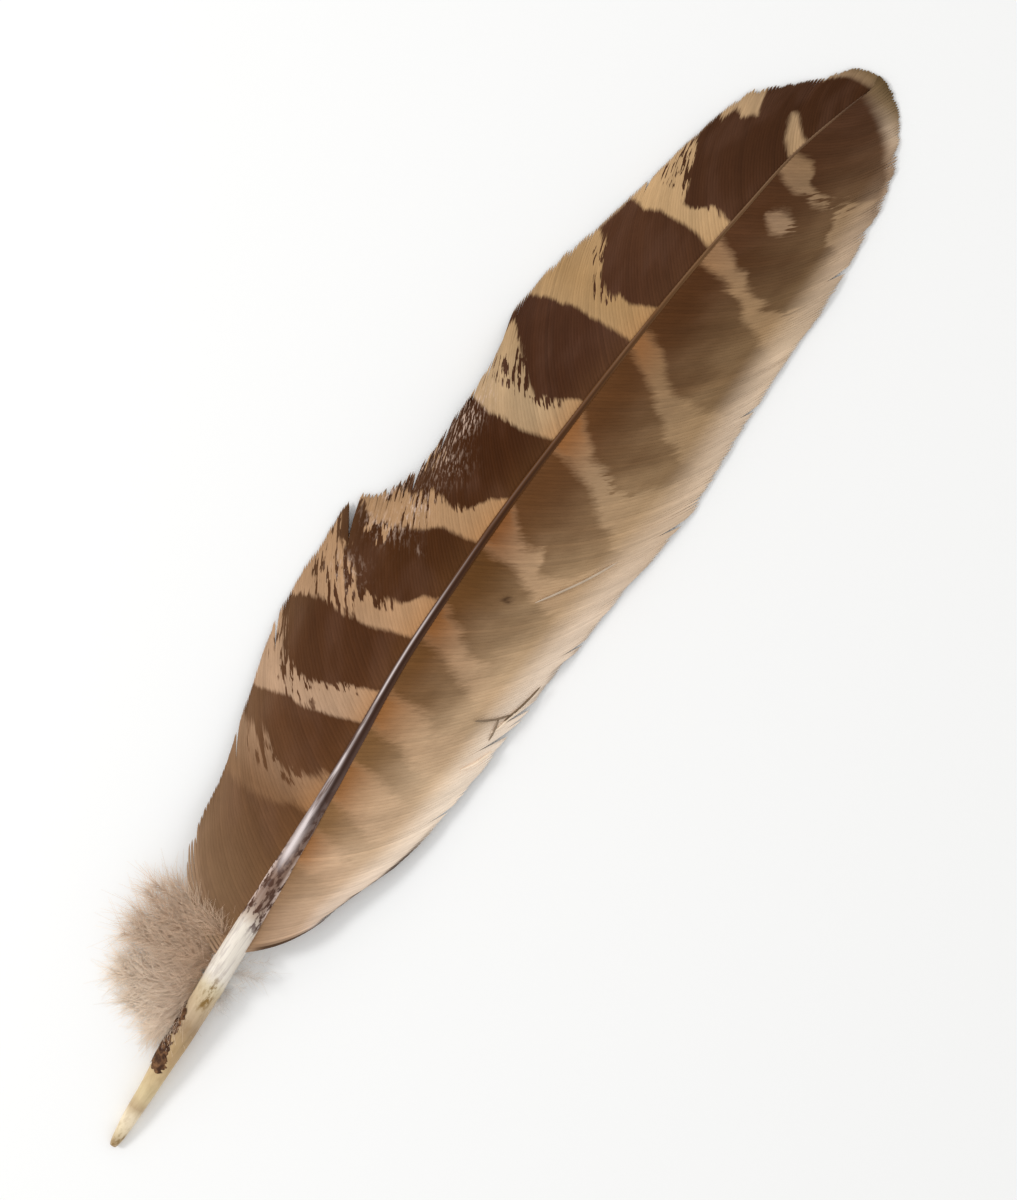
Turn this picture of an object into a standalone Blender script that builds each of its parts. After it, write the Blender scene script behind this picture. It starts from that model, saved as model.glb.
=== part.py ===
"""A barred brown wing feather lying on a flat surface with its upper side up.

The quill end points to -Y, the vane's tip to +Y and the wider, paler trailing
vane to +X.  The feather rests on the quill's tip and on the drooping edges of
its two vanes; between them the shaft arches clear of the surface.
"""

from typing import NamedTuple

import bmesh
import bpy
import numpy as np
from mathutils import Vector

MM = 0.001

# Clear space left between neighbouring pieces, in millimetres.
GAP = 0.3

# The shaft's middle line and its half-thickness: (x, y, z, radius) in millimetres,
# from the quill's tip, through the swollen quill, to the end of the shaft.
SHAFT_STATIONS = (
    (4.95, -80.0, 0.58, 0.56),
    (4.70, -76.6, 0.96, 0.90),
    (4.42, -72.0, 1.36, 1.10),
    (3.96, -65.6, 1.98, 1.42),
    (3.50, -59.0, 2.56, 1.54),
    (2.90, -52.0, 3.10, 1.60),
    (2.30, -43.5, 3.80, 1.37),
    (1.60, -34.3, 4.50, 1.08),
    (0.50, -23.0, 5.20, 0.80),
    (-0.70, -11.5, 5.80, 0.65),
    (-1.15, 0.0, 6.10, 0.62),
    (-1.30, 11.5, 6.10, 0.57),
    (-1.03, 22.7, 5.80, 0.51),
    (-0.65, 34.2, 5.20, 0.45),
    (-0.05, 45.6, 4.30, 0.36),
    (0.95, 57.0, 3.20, 0.29),
    (1.95, 66.0, 2.10, 0.23),
    (3.55, 73.0, 1.20, 0.18),
    (4.80, 77.5, 0.70, 0.14),
)
SHAFT_RINGS = 64
SHAFT_BEVEL_RESOLUTION = 4

# Outlines of the barb tips, (x, y) in millimetres, from the quill end to the tip.
LEADING_OUTLINE = (
    (-8.90, -45.0),
    (-9.90, -39.8),
    (-11.2, -33.2),
    (-13.0, -27.5),
    (-15.3, -20.6),
    (-16.8, -13.8),
    (-17.35, -5.8),
    (-17.1, 1.7),
    (-14.6, 4.6),
    (-13.5, 7.5),
    (-13.3, 20.0),
    (-13.6, 26.5),
    (-14.6, 30.3),
    (-14.6, 34.2),
    (-13.5, 41.0),
    (-11.9, 47.8),
    (-10.5, 54.7),
    (-9.4, 60.4),
    (-8.2, 65.7),
    (-6.6, 70.0),
    (-4.5, 72.0),
    (-1.8, 74.0),
    (-0.1, 75.8),
    (0.95, 77.7),
    (2.30, 79.2),
    (4.60, 79.9),
)
TRAILING_OUTLINE = (
    (9.80, -41.6),
    (11.6, -36.6),
    (13.1, -32.1),
    (14.5, -22.9),
    (14.95, -13.8),
    (15.2, -4.7),
    (16.0, 7.9),
    (16.9, 18.2),
    (17.35, 24.6),
    (16.7, 33.0),
    (16.0, 44.0),
    (15.8, 54.7),
    (14.8, 63.8),
    (13.0, 72.0),
    (10.9, 75.9),
    (7.50, 79.3),
    (5.30, 80.0),
)
LEADING_DOWN_OUTLINE = (
    (1.60, -66.2),
    (-2.70, -65.6),
    (-7.30, -62.5),
    (-9.80, -55.0),
    (-9.40, -46.4),
)
TRAILING_DOWN_OUTLINE = (
    (5.90, -59.5),
    (7.60, -56.5),
    (8.70, -52.5),
    (8.90, -49.5),
)


class Web(NamedTuple):
    """One web of barbs or down beside the shaft; lengths are in millimetres."""

    side: int  # -1 on the leading side, +1 on the trailing side
    outline: tuple  # where the barbs end, from the quill end to the feather's tip
    barbs: tuple  # (y of the root, y of the end) of a few barbs along the shaft
    outline_rise: tuple  # (y, height of the underside) along the outline
    root_drop: float  # depth of the underside below the shaft's middle line
    droop: float  # power of the curve by which a barb sinks towards its end
    sweep: float  # how far a barb bows away from its chord, as a share of it
    thickness: float
    barb_count: int
    steps_along_barb: int


LEADING_VANE = Web(
    side=-1,
    outline=LEADING_OUTLINE,
    barbs=(
        (-53.2, -45.0),
        (-49.6, -38.6),
        (-34.3, -19.0),
        (-11.5, 5.8),
        (22.7, 41.0),
        (45.6, 62.0),
        (57.0, 71.2),
        (66.0, 75.7),
        (77.5, 79.9),
    ),
    outline_rise=((-45, 2.4), (-40, 1.9), (-25, 0.8), (-10, 0.0), (80, 0.0)),
    root_drop=0.1,
    droop=1.7,
    sweep=0.09,
    thickness=0.5,
    barb_count=64,
    steps_along_barb=8,
)
TRAILING_VANE = Web(
    side=1,
    outline=TRAILING_OUTLINE,
    barbs=(
        (-52.1, -41.6),
        (-34.3, -17.2),
        (-11.5, 8.6),
        (22.7, 43.3),
        (45.6, 63.8),
        (57.0, 71.4),
        (66.0, 76.2),
        (77.5, 80.0),
    ),
    outline_rise=((-42, 2.0), (-25, 0.9), (-8, 0.0), (80, 0.0)),
    root_drop=0.1,
    droop=1.7,
    sweep=0.09,
    thickness=0.5,
    barb_count=64,
    steps_along_barb=8,
)
LEADING_DOWN = Web(
    side=-1,
    outline=LEADING_DOWN_OUTLINE,
    barbs=((-62.0, -66.2), (-58.0, -57.0), (-54.8, -46.4)),
    outline_rise=((-66, 0.3), (-46, 0.3)),
    root_drop=1.2,
    droop=1.4,
    sweep=0.05,
    thickness=1.4,
    barb_count=12,
    steps_along_barb=6,
)
TRAILING_DOWN = Web(
    side=1,
    outline=TRAILING_DOWN_OUTLINE,
    barbs=((-58.0, -59.5), (-53.6, -49.5)),
    outline_rise=((-60, 0.6), (-49, 0.8)),
    root_drop=1.2,
    droop=1.4,
    sweep=0.05,
    thickness=1.4,
    barb_count=8,
    steps_along_barb=4,
)

# Samples taken along a smooth curve before it is read by length or by height.
DENSE = 600


def smooth_curve(points, count=DENSE):
    """Points on one rounded curve through the given ones, from first to last."""
    knots = np.array(points, float)
    spans = np.linalg.norm(np.diff(knots[:, :2], axis=0), axis=1)
    places = np.concatenate([[0.0], np.cumsum(spans)])
    slopes = np.gradient(knots, places, axis=0)
    wanted = np.linspace(0.0, places[-1], count)
    start = np.clip(np.searchsorted(places, wanted, side="right") - 1, 0, len(spans) - 1)
    span = spans[start][:, None]
    part = (wanted[:, None] - places[start][:, None]) / span
    rest = 1.0 - part
    value = knots[start] * (1.0 + 2.0 * part) * rest**2
    value = value + knots[start + 1] * (3.0 - 2.0 * part) * part**2
    turn = slopes[start] * part * rest**2 - slopes[start + 1] * rest * part**2
    return value + span * turn


def shaft_at(y):
    """The shaft's middle line and radius, (x, y, z, radius), where it passes y."""
    line = smooth_curve(SHAFT_STATIONS)
    return np.array([np.interp(y, line[:, 1], line[:, axis]) for axis in range(4)])


def outline_points(web):
    """The web's outline read at one point for each barb, evenly where barbs crowd."""
    outline = smooth_curve(web.outline)
    steps = np.linalg.norm(np.diff(outline, axis=0), axis=1)
    length = np.concatenate([[0.0], np.cumsum(steps)])
    root_y, end_y = np.array(web.barbs).T
    end_length = np.interp(end_y, outline[:, 1], length)
    roots = np.linspace(root_y[0], root_y[-1], web.barb_count)
    ends = np.interp(roots, root_y, end_length)
    return roots, np.stack([np.interp(ends, length, outline[:, axis]) for axis in (0, 1)], axis=1)


def barb_rows(web):
    """For each barb, its points on the underside of the web from root to end."""
    roots, ends = outline_points(web)
    share = np.linspace(0.0, 1.0, web.steps_along_barb)
    heights_y, heights_z = np.array(web.outline_rise, float).T
    rows = []
    for root_y, end in zip(roots, ends):
        x, y, z, radius = shaft_at(root_y)
        root = np.array([x + web.side * (radius + GAP), y])
        chord = end - root
        bow = web.sweep * web.side * np.array([chord[1], -chord[0]])
        middle = (root + end) / 2.0 + 2.0 * bow
        path = (
            np.outer((1.0 - share) ** 2, root)
            + np.outer(2.0 * share * (1.0 - share), middle)
            + np.outer(share**2, end)
        )
        end_z = np.interp(end[1], heights_y, heights_z)
        height = z - web.root_drop + (end_z - z + web.root_drop) * share**web.droop
        rows.append(np.column_stack([path, height]))
    return np.array(rows)


def make_material(name, colour, roughness):
    """A plain material with the piece's own colour and sheen."""
    material = bpy.data.materials.new(name)
    material.use_nodes = True
    shader = material.node_tree.nodes["Principled BSDF"]
    shader.inputs["Base Color"].default_value = (*colour, 1.0)
    shader.inputs["Roughness"].default_value = roughness
    shader.inputs["Metallic"].default_value = 0.0
    return material


def make_web(name, web, material):
    """A closed thin sheet: a grid laid along the barbs, given the web's thickness."""
    rows = barb_rows(web)
    last_row = web.barb_count - 1
    last_step = web.steps_along_barb - 1
    shape = bmesh.new()
    bmesh.ops.create_grid(shape, x_segments=last_row, y_segments=last_step, size=0.5)
    for vert in shape.verts:
        row = round((vert.co.x + 0.5) * last_row)
        step = round((vert.co.y + 0.5) * last_step)
        vert.co = Vector(rows[row, step]) * MM
    upper = bmesh.ops.extrude_face_region(shape, geom=shape.faces[:])["geom"]
    raised = [part for part in upper if isinstance(part, bmesh.types.BMVert)]
    bmesh.ops.translate(shape, verts=raised, vec=(0.0, 0.0, web.thickness * MM))
    bmesh.ops.triangulate(shape, faces=shape.faces[:])
    bmesh.ops.recalc_face_normals(shape, faces=shape.faces[:])
    mesh = bpy.data.meshes.new(name)
    shape.to_mesh(mesh)
    shape.free()
    mesh.materials.append(material)
    piece = bpy.data.objects.new(name, mesh)
    bpy.context.scene.collection.objects.link(piece)
    return piece


def make_shaft(name, material):
    """One tapered horn rod, round and thick at the quill, needle-fine at the tip."""
    line = smooth_curve(SHAFT_STATIONS, SHAFT_RINGS)
    curve = bpy.data.curves.new(name, "CURVE")
    curve.dimensions = "3D"
    curve.bevel_depth = MM
    curve.bevel_resolution = SHAFT_BEVEL_RESOLUTION
    curve.use_fill_caps = True
    spline = curve.splines.new("POLY")
    spline.points.add(len(line) - 1)
    for point, (x, y, z, radius) in zip(spline.points, line):
        point.co = (x * MM, y * MM, z * MM, 1.0)
        point.radius = radius
    curve.materials.append(material)
    piece = bpy.data.objects.new(name, curve)
    bpy.context.scene.collection.objects.link(piece)
    return piece


def main():
    """Clears the scene and builds the feather's pieces where they lie."""
    for old in list(bpy.data.objects):
        bpy.data.objects.remove(old)
    make_shaft("shaft", make_material("quill_horn", (0.42, 0.30, 0.19), 0.35))
    make_web("leading_vane", LEADING_VANE, make_material("dark_barred_vane", (0.12, 0.06, 0.03), 0.6))
    make_web("trailing_vane", TRAILING_VANE, make_material("pale_barred_vane", (0.33, 0.21, 0.12), 0.6))
    down = make_material("grey_down", (0.42, 0.33, 0.25), 0.9)
    make_web("leading_down", LEADING_DOWN, down)
    make_web("trailing_down", TRAILING_DOWN, down)


main()
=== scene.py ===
"""A barred brown wing feather, barb by barb, lying on a pale floor.

Lengths in the plans are millimetres in the feather's own frame: +Y runs along
the shaft from the quill to the vane's tip, +X points to the paler trailing
vane and +Z up from the floor.
"""

import logging
import math
from dataclasses import dataclass, field
from enum import Enum

import bmesh
import bpy
import numpy as np
from mathutils import Matrix, Vector


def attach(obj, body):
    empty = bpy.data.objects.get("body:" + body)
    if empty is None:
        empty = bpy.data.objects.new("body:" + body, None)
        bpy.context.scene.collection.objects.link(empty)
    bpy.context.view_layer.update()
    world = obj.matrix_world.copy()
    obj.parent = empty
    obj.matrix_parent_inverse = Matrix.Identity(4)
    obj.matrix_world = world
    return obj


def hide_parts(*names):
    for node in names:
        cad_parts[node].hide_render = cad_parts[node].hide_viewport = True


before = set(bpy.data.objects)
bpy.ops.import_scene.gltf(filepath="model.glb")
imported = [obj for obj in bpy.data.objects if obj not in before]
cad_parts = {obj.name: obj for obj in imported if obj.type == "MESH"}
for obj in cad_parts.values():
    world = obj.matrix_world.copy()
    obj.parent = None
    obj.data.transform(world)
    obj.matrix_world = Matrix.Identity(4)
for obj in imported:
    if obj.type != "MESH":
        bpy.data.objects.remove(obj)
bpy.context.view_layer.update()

LOG = logging.getLogger("feather")
MM = 0.001
FLOOR_CLEARANCE = 0.02
BAKE_MAP = "OFBake"

Array = np.ndarray
Point2 = tuple[float, float]
Tone = tuple[int, int, int]  # red, green and blue, 0 to 255
Tones = tuple[tuple[float, Tone], ...]  # each tone after its place, from 0 to 1
Socket = bpy.types.NodeSocket


class Side(Enum):
    """The side of the shaft that a web grows on, seen from above."""

    LEADING = -1
    TRAILING = 1


# ---------------------------------------------------------------- curves


def smooth_curve(points: tuple, count: int = 600) -> Array:
    """Read one rounded curve through the given points.

    Args:
        points: The points in order; the first two values of each set its spacing.
        count: How many points to read, evenly by chord length.

    Returns:
        The points read, one row each.
    """
    knots = np.array(points, float)
    spans = np.linalg.norm(np.diff(knots[:, :2], axis=0), axis=1)
    places = np.concatenate([[0.0], np.cumsum(spans)])
    slopes = np.gradient(knots, places, axis=0)
    wanted = np.linspace(0.0, places[-1], count)
    start = np.clip(np.searchsorted(places, wanted, side="right") - 1, 0, len(spans) - 1)
    span = spans[start][:, None]
    part = (wanted[:, None] - places[start][:, None]) / span
    rest = 1.0 - part
    value = knots[start] * (1.0 + 2.0 * part) * rest**2
    value = value + knots[start + 1] * (3.0 - 2.0 * part) * part**2
    turn = slopes[start] * part * rest**2 - slopes[start + 1] * rest * part**2
    return value + span * turn


def smooth_step(low: float, high: float, value: Array) -> Array:
    """Ease from 0 at low to 1 at high."""
    part = np.clip((value - low) / (high - low), 0.0, 1.0)
    return part * part * (3.0 - 2.0 * part)


def drifting(rng: np.random.Generator, count: int, reach: int) -> Array:
    """Draw a random value for each barb that its neighbours partly share.

    Args:
        rng: The source of the draws.
        count: How many values to draw.
        reach: How many neighbours share a value.

    Returns:
        Values of about unit spread.
    """
    raw = rng.normal(size=count + 2 * reach)
    window = np.hanning(2 * reach + 3)[1:-1]
    return np.convolve(raw, window / np.sqrt((window**2).sum()), mode="valid")[:count]


def between(value: Array, rise: Point2, fall: Point2) -> Array:
    """Ease from 0 to 1 over the rise and back to 0 over the fall, given from its end."""
    return smooth_step(*rise, value) * smooth_step(*fall, value)


def bell(value: Array, centre: float, width: float) -> Array:
    """Give 1 at the centre, falling off softly over the width."""
    return np.exp(-(((value - centre) / width) ** 2))


def read_at(points: tuple[Point2, ...], place: Array) -> Array:
    """Read the value at each place from a few (place, value) points."""
    return np.interp(place, *np.array(points, float).T)


def unit(vectors: Array) -> Array:
    """Bring vectors to length 1."""
    return vectors / np.maximum(np.linalg.norm(vectors, axis=-1, keepdims=True), 1e-9)


def bowed(start: Array, middle: Array, end: Array, share: Array) -> Array:
    """Run a curve from each start to its end, drawn towards a middle point.

    Args:
        start: Where each curve starts, (curves, values of a point).
        middle: The point that draws each curve.
        end: Where each curve ends.
        share: The shares of the way to read at, (1, places, 1).

    Returns:
        The points read, (curves, places, values of a point).
    """
    rest = 1.0 - share
    return rest**2 * start[:, None] + 2.0 * share * rest * middle[:, None] + share**2 * end[:, None]


@dataclass(frozen=True)
class ShaftLine:
    """The shaft's middle line and radius at a few stations: (x, y, z, radius)."""

    stations: tuple[tuple[float, float, float, float], ...] = (
        (4.95, -80.0, 0.58, 0.56), (4.70, -76.6, 0.96, 0.90), (4.42, -72.0, 1.36, 1.10),
        (3.96, -65.6, 1.98, 1.42), (3.50, -59.0, 2.56, 1.54), (2.90, -52.0, 3.10, 1.60),
        (2.30, -43.5, 3.80, 1.37), (1.60, -34.3, 4.50, 1.08), (0.50, -23.0, 5.20, 0.80),
        (-0.70, -11.5, 5.80, 0.65), (-1.15, 0.0, 6.10, 0.62), (-1.30, 11.5, 6.10, 0.57),
        (-1.03, 22.7, 5.80, 0.51), (-0.65, 34.2, 5.20, 0.45), (-0.05, 45.6, 4.30, 0.36),
        (0.95, 57.0, 3.20, 0.29), (1.95, 66.0, 2.10, 0.23), (3.55, 73.0, 1.20, 0.18),
        (4.80, 77.5, 0.70, 0.14),
    )

    def sampled(self, count: int = 600) -> Array:
        """Rows of (x, y, z, radius) along the shaft, from the quill's tip."""
        return smooth_curve(self.stations, count)

    def at(self, y: Array) -> Array:
        """Rows of (x, y, z, radius) where the shaft passes each y."""
        line = self.sampled()
        return np.stack([np.interp(y, line[:, 1], line[:, axis]) for axis in range(4)], axis=-1)


SHAFT_LINE = ShaftLine()
QUILL_TIP_Y = SHAFT_LINE.stations[0][1]
FEATHER_LENGTH = 160.0


# ---------------------------------------------------------------- meshes


def vertex_places(mesh: bpy.types.Mesh) -> Array:
    """Read a mesh's vertices.

    Args:
        mesh: The mesh to read.

    Returns:
        The vertices' coordinates, one row each.
    """
    places = np.empty(len(mesh.vertices) * 3)
    mesh.vertices.foreach_get("co", places)
    return places.reshape(-1, 3)


def move_vertices(mesh: bpy.types.Mesh, places: Array) -> None:
    """Move a mesh's vertices, and keep them all above the floor.

    Args:
        mesh: The mesh to change.
        places: Where each vertex goes, in millimetres; those too low are raised.
    """
    places[..., 2] = np.maximum(places[..., 2], FLOOR_CLEARANCE)
    mesh.vertices.foreach_set("co", (places * MM).astype(np.float32).ravel())
    mesh.update()


def rod_blank(sides: int, steps: int) -> bpy.types.Mesh:
    """Make a straight closed rod of unit radius from z 0 to z 1, with its unrolled map.

    Args:
        sides: How many flat sides the rod has.
        steps: How many stretches it is cut into along its length.

    Returns:
        The rod's mesh, to be bent into place many times.
    """
    half = 0.5
    rod = bmesh.new()
    bmesh.ops.create_cone(
        rod, cap_ends=True, segments=sides, radius1=1.0, radius2=1.0, depth=1.0,
        matrix=Matrix.Translation((0.0, 0.0, half)),
    )
    lengthwise = [edge for edge in rod.edges if abs(edge.verts[0].co.z - edge.verts[1].co.z) > half]
    bmesh.ops.subdivide_edges(rod, edges=lengthwise, cuts=steps - 1)
    layer = rod.loops.layers.uv.new(BAKE_MAP)
    slice_angle = math.tau / sides
    cap_width = 0.3
    cap_depth = 0.003
    cap_gap = 0.006
    for face in rod.faces:
        middle = face.calc_center_median()
        capped = abs(face.normal.z) > half
        centre_turn = math.atan2(middle.y, middle.x)
        for loop in face.loops:
            place = loop.vert.co
            if capped:
                beyond = middle.z + math.copysign(cap_gap, middle.z - half)
                loop[layer].uv = (half + cap_width * place.x, beyond + cap_depth * place.y)
                continue
            turn = math.atan2(place.y, place.x) - centre_turn
            turn = (turn + math.pi) % math.tau - math.pi
            share = (centre_turn % math.tau + turn) / math.tau + half / sides
            loop[layer].uv = (share * sides * slice_angle / (math.tau + slice_angle), place.z)
    mesh = bpy.data.meshes.new("rod_blank")
    rod.to_mesh(mesh)
    rod.free()
    return mesh


@dataclass
class Strands:
    """Many rods bent along paths: where they run, how wide and thick they are."""

    paths: Array  # (rods, steps + 1, 3) middle lines, millimetres
    across: Array  # (rods, steps + 1, 3) unit vectors over each rod's width
    half_width: Array  # (rods, steps + 1)
    half_depth: Array  # (rods, steps + 1)
    sides: int = 8
    placed: Array = field(init=False)  # where each rod's vertices lie, millimetres
    steps_of_vertices: Array = field(init=False)  # step along the rod of each vertex of one rod
    around_of_vertices: Array = field(init=False)  # how far over the width each one is, -1 to 1

    def along(self) -> Array:
        """Unit vectors along each rod."""
        return unit(np.gradient(self.paths, axis=1))

    def mesh(self, name: str) -> bpy.types.Mesh:
        """Make one mesh of every rod, in metres.

        Args:
            name: The mesh's name.

        Returns:
            The mesh, its vertices in the order of the rods.
        """
        count, places = self.paths.shape[:2]
        blank = rod_blank(self.sides, places - 1)
        bundle = bmesh.new()
        for _ in range(count):
            bundle.from_mesh(blank)
        mesh = bpy.data.meshes.new(name)
        bundle.to_mesh(mesh)
        bundle.free()
        self.bend(mesh, blank)
        self.spread_map(mesh, count)
        mesh.shade_smooth()
        bpy.data.meshes.remove(blank)
        return mesh

    def bend(self, mesh: bpy.types.Mesh, blank: bpy.types.Mesh) -> None:
        """Move the bundled rods' vertices onto their paths.

        Args:
            mesh: The bundle of straight rods.
            blank: The one straight rod that the bundle repeats.
        """
        local = vertex_places(blank)
        step = np.rint(local[:, 2] * (self.paths.shape[1] - 1)).astype(int)
        self.steps_of_vertices = step
        self.around_of_vertices = local[:, 0]
        upward = unit(np.cross(self.along(), self.across))
        sideways = self.across[:, step] * (self.half_width[:, step] * local[:, 0])[..., None]
        raised = upward[:, step] * (self.half_depth[:, step] * local[:, 1])[..., None]
        self.placed = self.paths[:, step] + sideways + raised
        move_vertices(mesh, self.placed)

    def spread_map(self, mesh: bpy.types.Mesh, count: int) -> None:
        """Give each rod its own column of the map, in as many bands as keep it in proportion.

        Args:
            mesh: The bundle of rods.
            count: How many rods it has.
        """
        layer = mesh.uv_layers[BAKE_MAP]
        places = np.empty(len(mesh.loops) * 2, np.float32)
        layer.uv.foreach_get("vector", places)
        places = places.reshape(count, -1, 2)
        length = np.linalg.norm(np.diff(self.paths, axis=1), axis=2).sum(axis=1).mean()
        girth = math.pi * (self.half_width.mean() + self.half_depth.mean())
        bands = max(1, round(math.sqrt(count * girth / length)))
        columns = math.ceil(count / bands)
        side_margin = 0.04
        end_margin = 0.01
        band, column = np.divmod(np.arange(count)[:, None], columns)
        places[..., 0] = (column + side_margin + (1.0 - 2.0 * side_margin) * places[..., 0]) / columns
        places[..., 1] = (band + end_margin + (1.0 - 2.0 * end_margin) * places[..., 1]) / bands
        layer.uv.foreach_set("vector", places.ravel())


def add_field(mesh: bpy.types.Mesh, name: str, values: Array) -> None:
    """Store one number, or one vector, for each vertex under a name.

    Args:
        mesh: The mesh to write to.
        name: The field's name, which the finish reads.
        values: One number or three numbers for each vertex.
    """
    kind, slot = ("FLOAT_VECTOR", "vector") if values.ndim > 1 else ("FLOAT", "value")
    layer = mesh.attributes.new(name, kind, "POINT")
    layer.data.foreach_set(slot, values.astype(np.float32).ravel())


def place_piece(
    mesh: bpy.types.Mesh, material: bpy.types.Material, slot: str, *nodes: str
) -> bpy.types.Object:
    """Put a finished mesh in the scene as a piece of the feather.

    Args:
        mesh: The piece's mesh, in metres, where it lies.
        material: Its finish.
        slot: The name of a material slot; not used.
        nodes: The CAD nodes that it stands for.

    Returns:
        The piece.
    """
    mesh.materials.clear()
    mesh.materials.append(material)
    piece = bpy.data.objects.new(mesh.name, mesh)
    bpy.context.scene.collection.objects.link(piece)
    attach(piece, "root")
    if nodes:
        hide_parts(*nodes)
    LOG.info("%s: %d triangles", piece.name, len(mesh.loops) - 2 * len(mesh.polygons))
    return piece


# ---------------------------------------------------------------- finishes


def tone(red: int, green: int, blue: int) -> tuple[float, float, float, float]:
    """Turn a display colour into the shader's own linear values.

    Args:
        red: Its red, from 0 to 255.
        green: Its green.
        blue: Its blue.

    Returns:
        The linear red, green and blue, and 1 for opaque.
    """
    shares = [value / 255.0 for value in (red, green, blue)]
    linear = [s / 12.92 if s <= 0.04045 else ((s + 0.055) / 1.055) ** 2.4 for s in shares]
    return (*linear, 1.0)


class Easing(Enum):
    """How a number runs between its two limits."""

    SMOOTH = "SMOOTHSTEP"
    STRAIGHT = "LINEAR"


class Blend(Enum):
    """How one colour is laid over another."""

    COVER = "MIX"
    DARKEN = "MULTIPLY"


@dataclass(frozen=True)
class Grain:
    """A noise pattern: how fine it is along each axis, its detail and its roughness."""

    scale: tuple[float, float, float]
    detail: float = 2.0
    rough: float = 0.5


class NodeBoard:
    """Places shader nodes on one material and wires them together."""

    def __init__(self, name: str) -> None:
        """Start a material with nothing but its shader and output.

        Args:
            name: The material's name.
        """
        self.material = bpy.data.materials.new(name)
        self.material.use_nodes = True
        self.tree = self.material.node_tree
        self.shader = self.tree.nodes["Principled BSDF"]

    def feed(self, socket: Socket, value: object) -> None:
        """Wire a socket to an output, or set it to a plain value.

        Args:
            socket: The input to feed.
            value: Another node's output, or the plain value.
        """
        if isinstance(value, Socket):
            self.tree.links.new(value, socket)
        else:
            socket.default_value = value

    def node(self, kind: str, inputs: dict[int | str, object], **settings: object) -> bpy.types.Node:
        """Add a node.

        Args:
            kind: The kind of node.
            inputs: What to feed to its inputs, by number or name.
            settings: Its plain properties.

        Returns:
            The node.
        """
        made = self.tree.nodes.new(kind)
        for key, value in settings.items():
            setattr(made, key, value)
        for key, value in inputs.items():
            self.feed(made.inputs[key], value)
        return made

    def field(self, name: str) -> Socket:
        """The piece's own stored number of that name."""
        return self.node("ShaderNodeAttribute", {}, attribute_name=name).outputs["Fac"]

    def vector_field(self, name: str) -> Socket:
        """The piece's own stored vector of that name."""
        return self.node("ShaderNodeAttribute", {}, attribute_name=name).outputs["Vector"]

    def object_place(self) -> Socket:
        """Where a point lies on the piece, in metres."""
        return self.node("ShaderNodeTexCoord", {}).outputs["Object"]

    def maths(self, operation: str, *numbers: object) -> Socket:
        """One sum on two or three numbers."""
        return self.node("ShaderNodeMath", dict(enumerate(numbers)), operation=operation).outputs[0]

    def times(self, first: object, second: object) -> Socket:
        """The product of two numbers."""
        return self.maths("MULTIPLY", first, second)

    def centred(self, noise: Socket) -> Socket:
        """Noise shifted to lie about 0."""
        return self.maths("SUBTRACT", noise, 0.5)

    def factor(self, noise: Socket, depth: float) -> Socket:
        """Noise turned into a factor about 1, half the depth either way at most."""
        return self.maths("MULTIPLY_ADD", self.centred(noise), depth, 1.0)

    def noise(self, place: Socket, grain: Grain) -> Socket:
        """Soft noise, from 0 to 1.

        Args:
            place: Where to read it.
            grain: Its pattern.

        Returns:
            The noise.
        """
        scaled = self.node("ShaderNodeVectorMath", {0: place, 1: grain.scale}, operation="MULTIPLY")
        inputs = {"Vector": scaled.outputs[0], "Scale": 1.0, "Detail": grain.detail, "Roughness": grain.rough}
        return self.node("ShaderNodeTexNoise", inputs).outputs["Fac"]

    def spread(self, value: Socket, low: float, high: float, easing: Easing = Easing.SMOOTH) -> Socket:
        """A number eased from 0 at low to 1 at high."""
        inputs = {"Value": value, "From Min": low, "From Max": high}
        return self.node("ShaderNodeMapRange", inputs, interpolation_type=easing.value).outputs["Result"]

    def ramp(self, value: Socket, tones: Tones) -> Socket:
        """A colour read from a few tones by a number from 0 to 1.

        Args:
            value: The number.
            tones: The tones, each after its place from 0 to 1.

        Returns:
            The colour.
        """
        made = self.node("ShaderNodeValToRGB", {"Fac": value})
        stops = made.color_ramp.elements
        while len(stops) < len(tones):
            stops.new(0.5)
        for stop, (place, colour) in zip(stops, tones):
            stop.position = place
            stop.color = tone(*colour)
        return made.outputs["Color"]

    def mix(self, share: object, first: object, second: object, blend: Blend = Blend.COVER) -> Socket:
        """Two colours mixed by a share."""
        inputs = {0: share, 6: first, 7: second}
        return self.node("ShaderNodeMix", inputs, data_type="RGBA", blend_type=blend.value).outputs[2]

    def shaded(self, colour: Socket, share: Socket) -> Socket:
        """A colour made lighter or darker by a number about 1."""
        grey = self.node("ShaderNodeCombineColor", {0: share, 1: share, 2: share})
        return self.mix(1.0, colour, grey.outputs[0], Blend.DARKEN)

    def bump(self, height: Socket, strength: float, distance: float) -> None:
        """Let a height pattern tilt the shading."""
        inputs = {"Strength": strength, "Distance": distance, "Height": height}
        self.set(Normal=self.node("ShaderNodeBump", inputs).outputs["Normal"])

    def set(self, **values: object) -> None:
        """Feed the shader's own inputs; underscores stand for spaces."""
        for name, value in values.items():
            self.feed(self.shader.inputs[name.replace("_", " ")], value)


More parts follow.
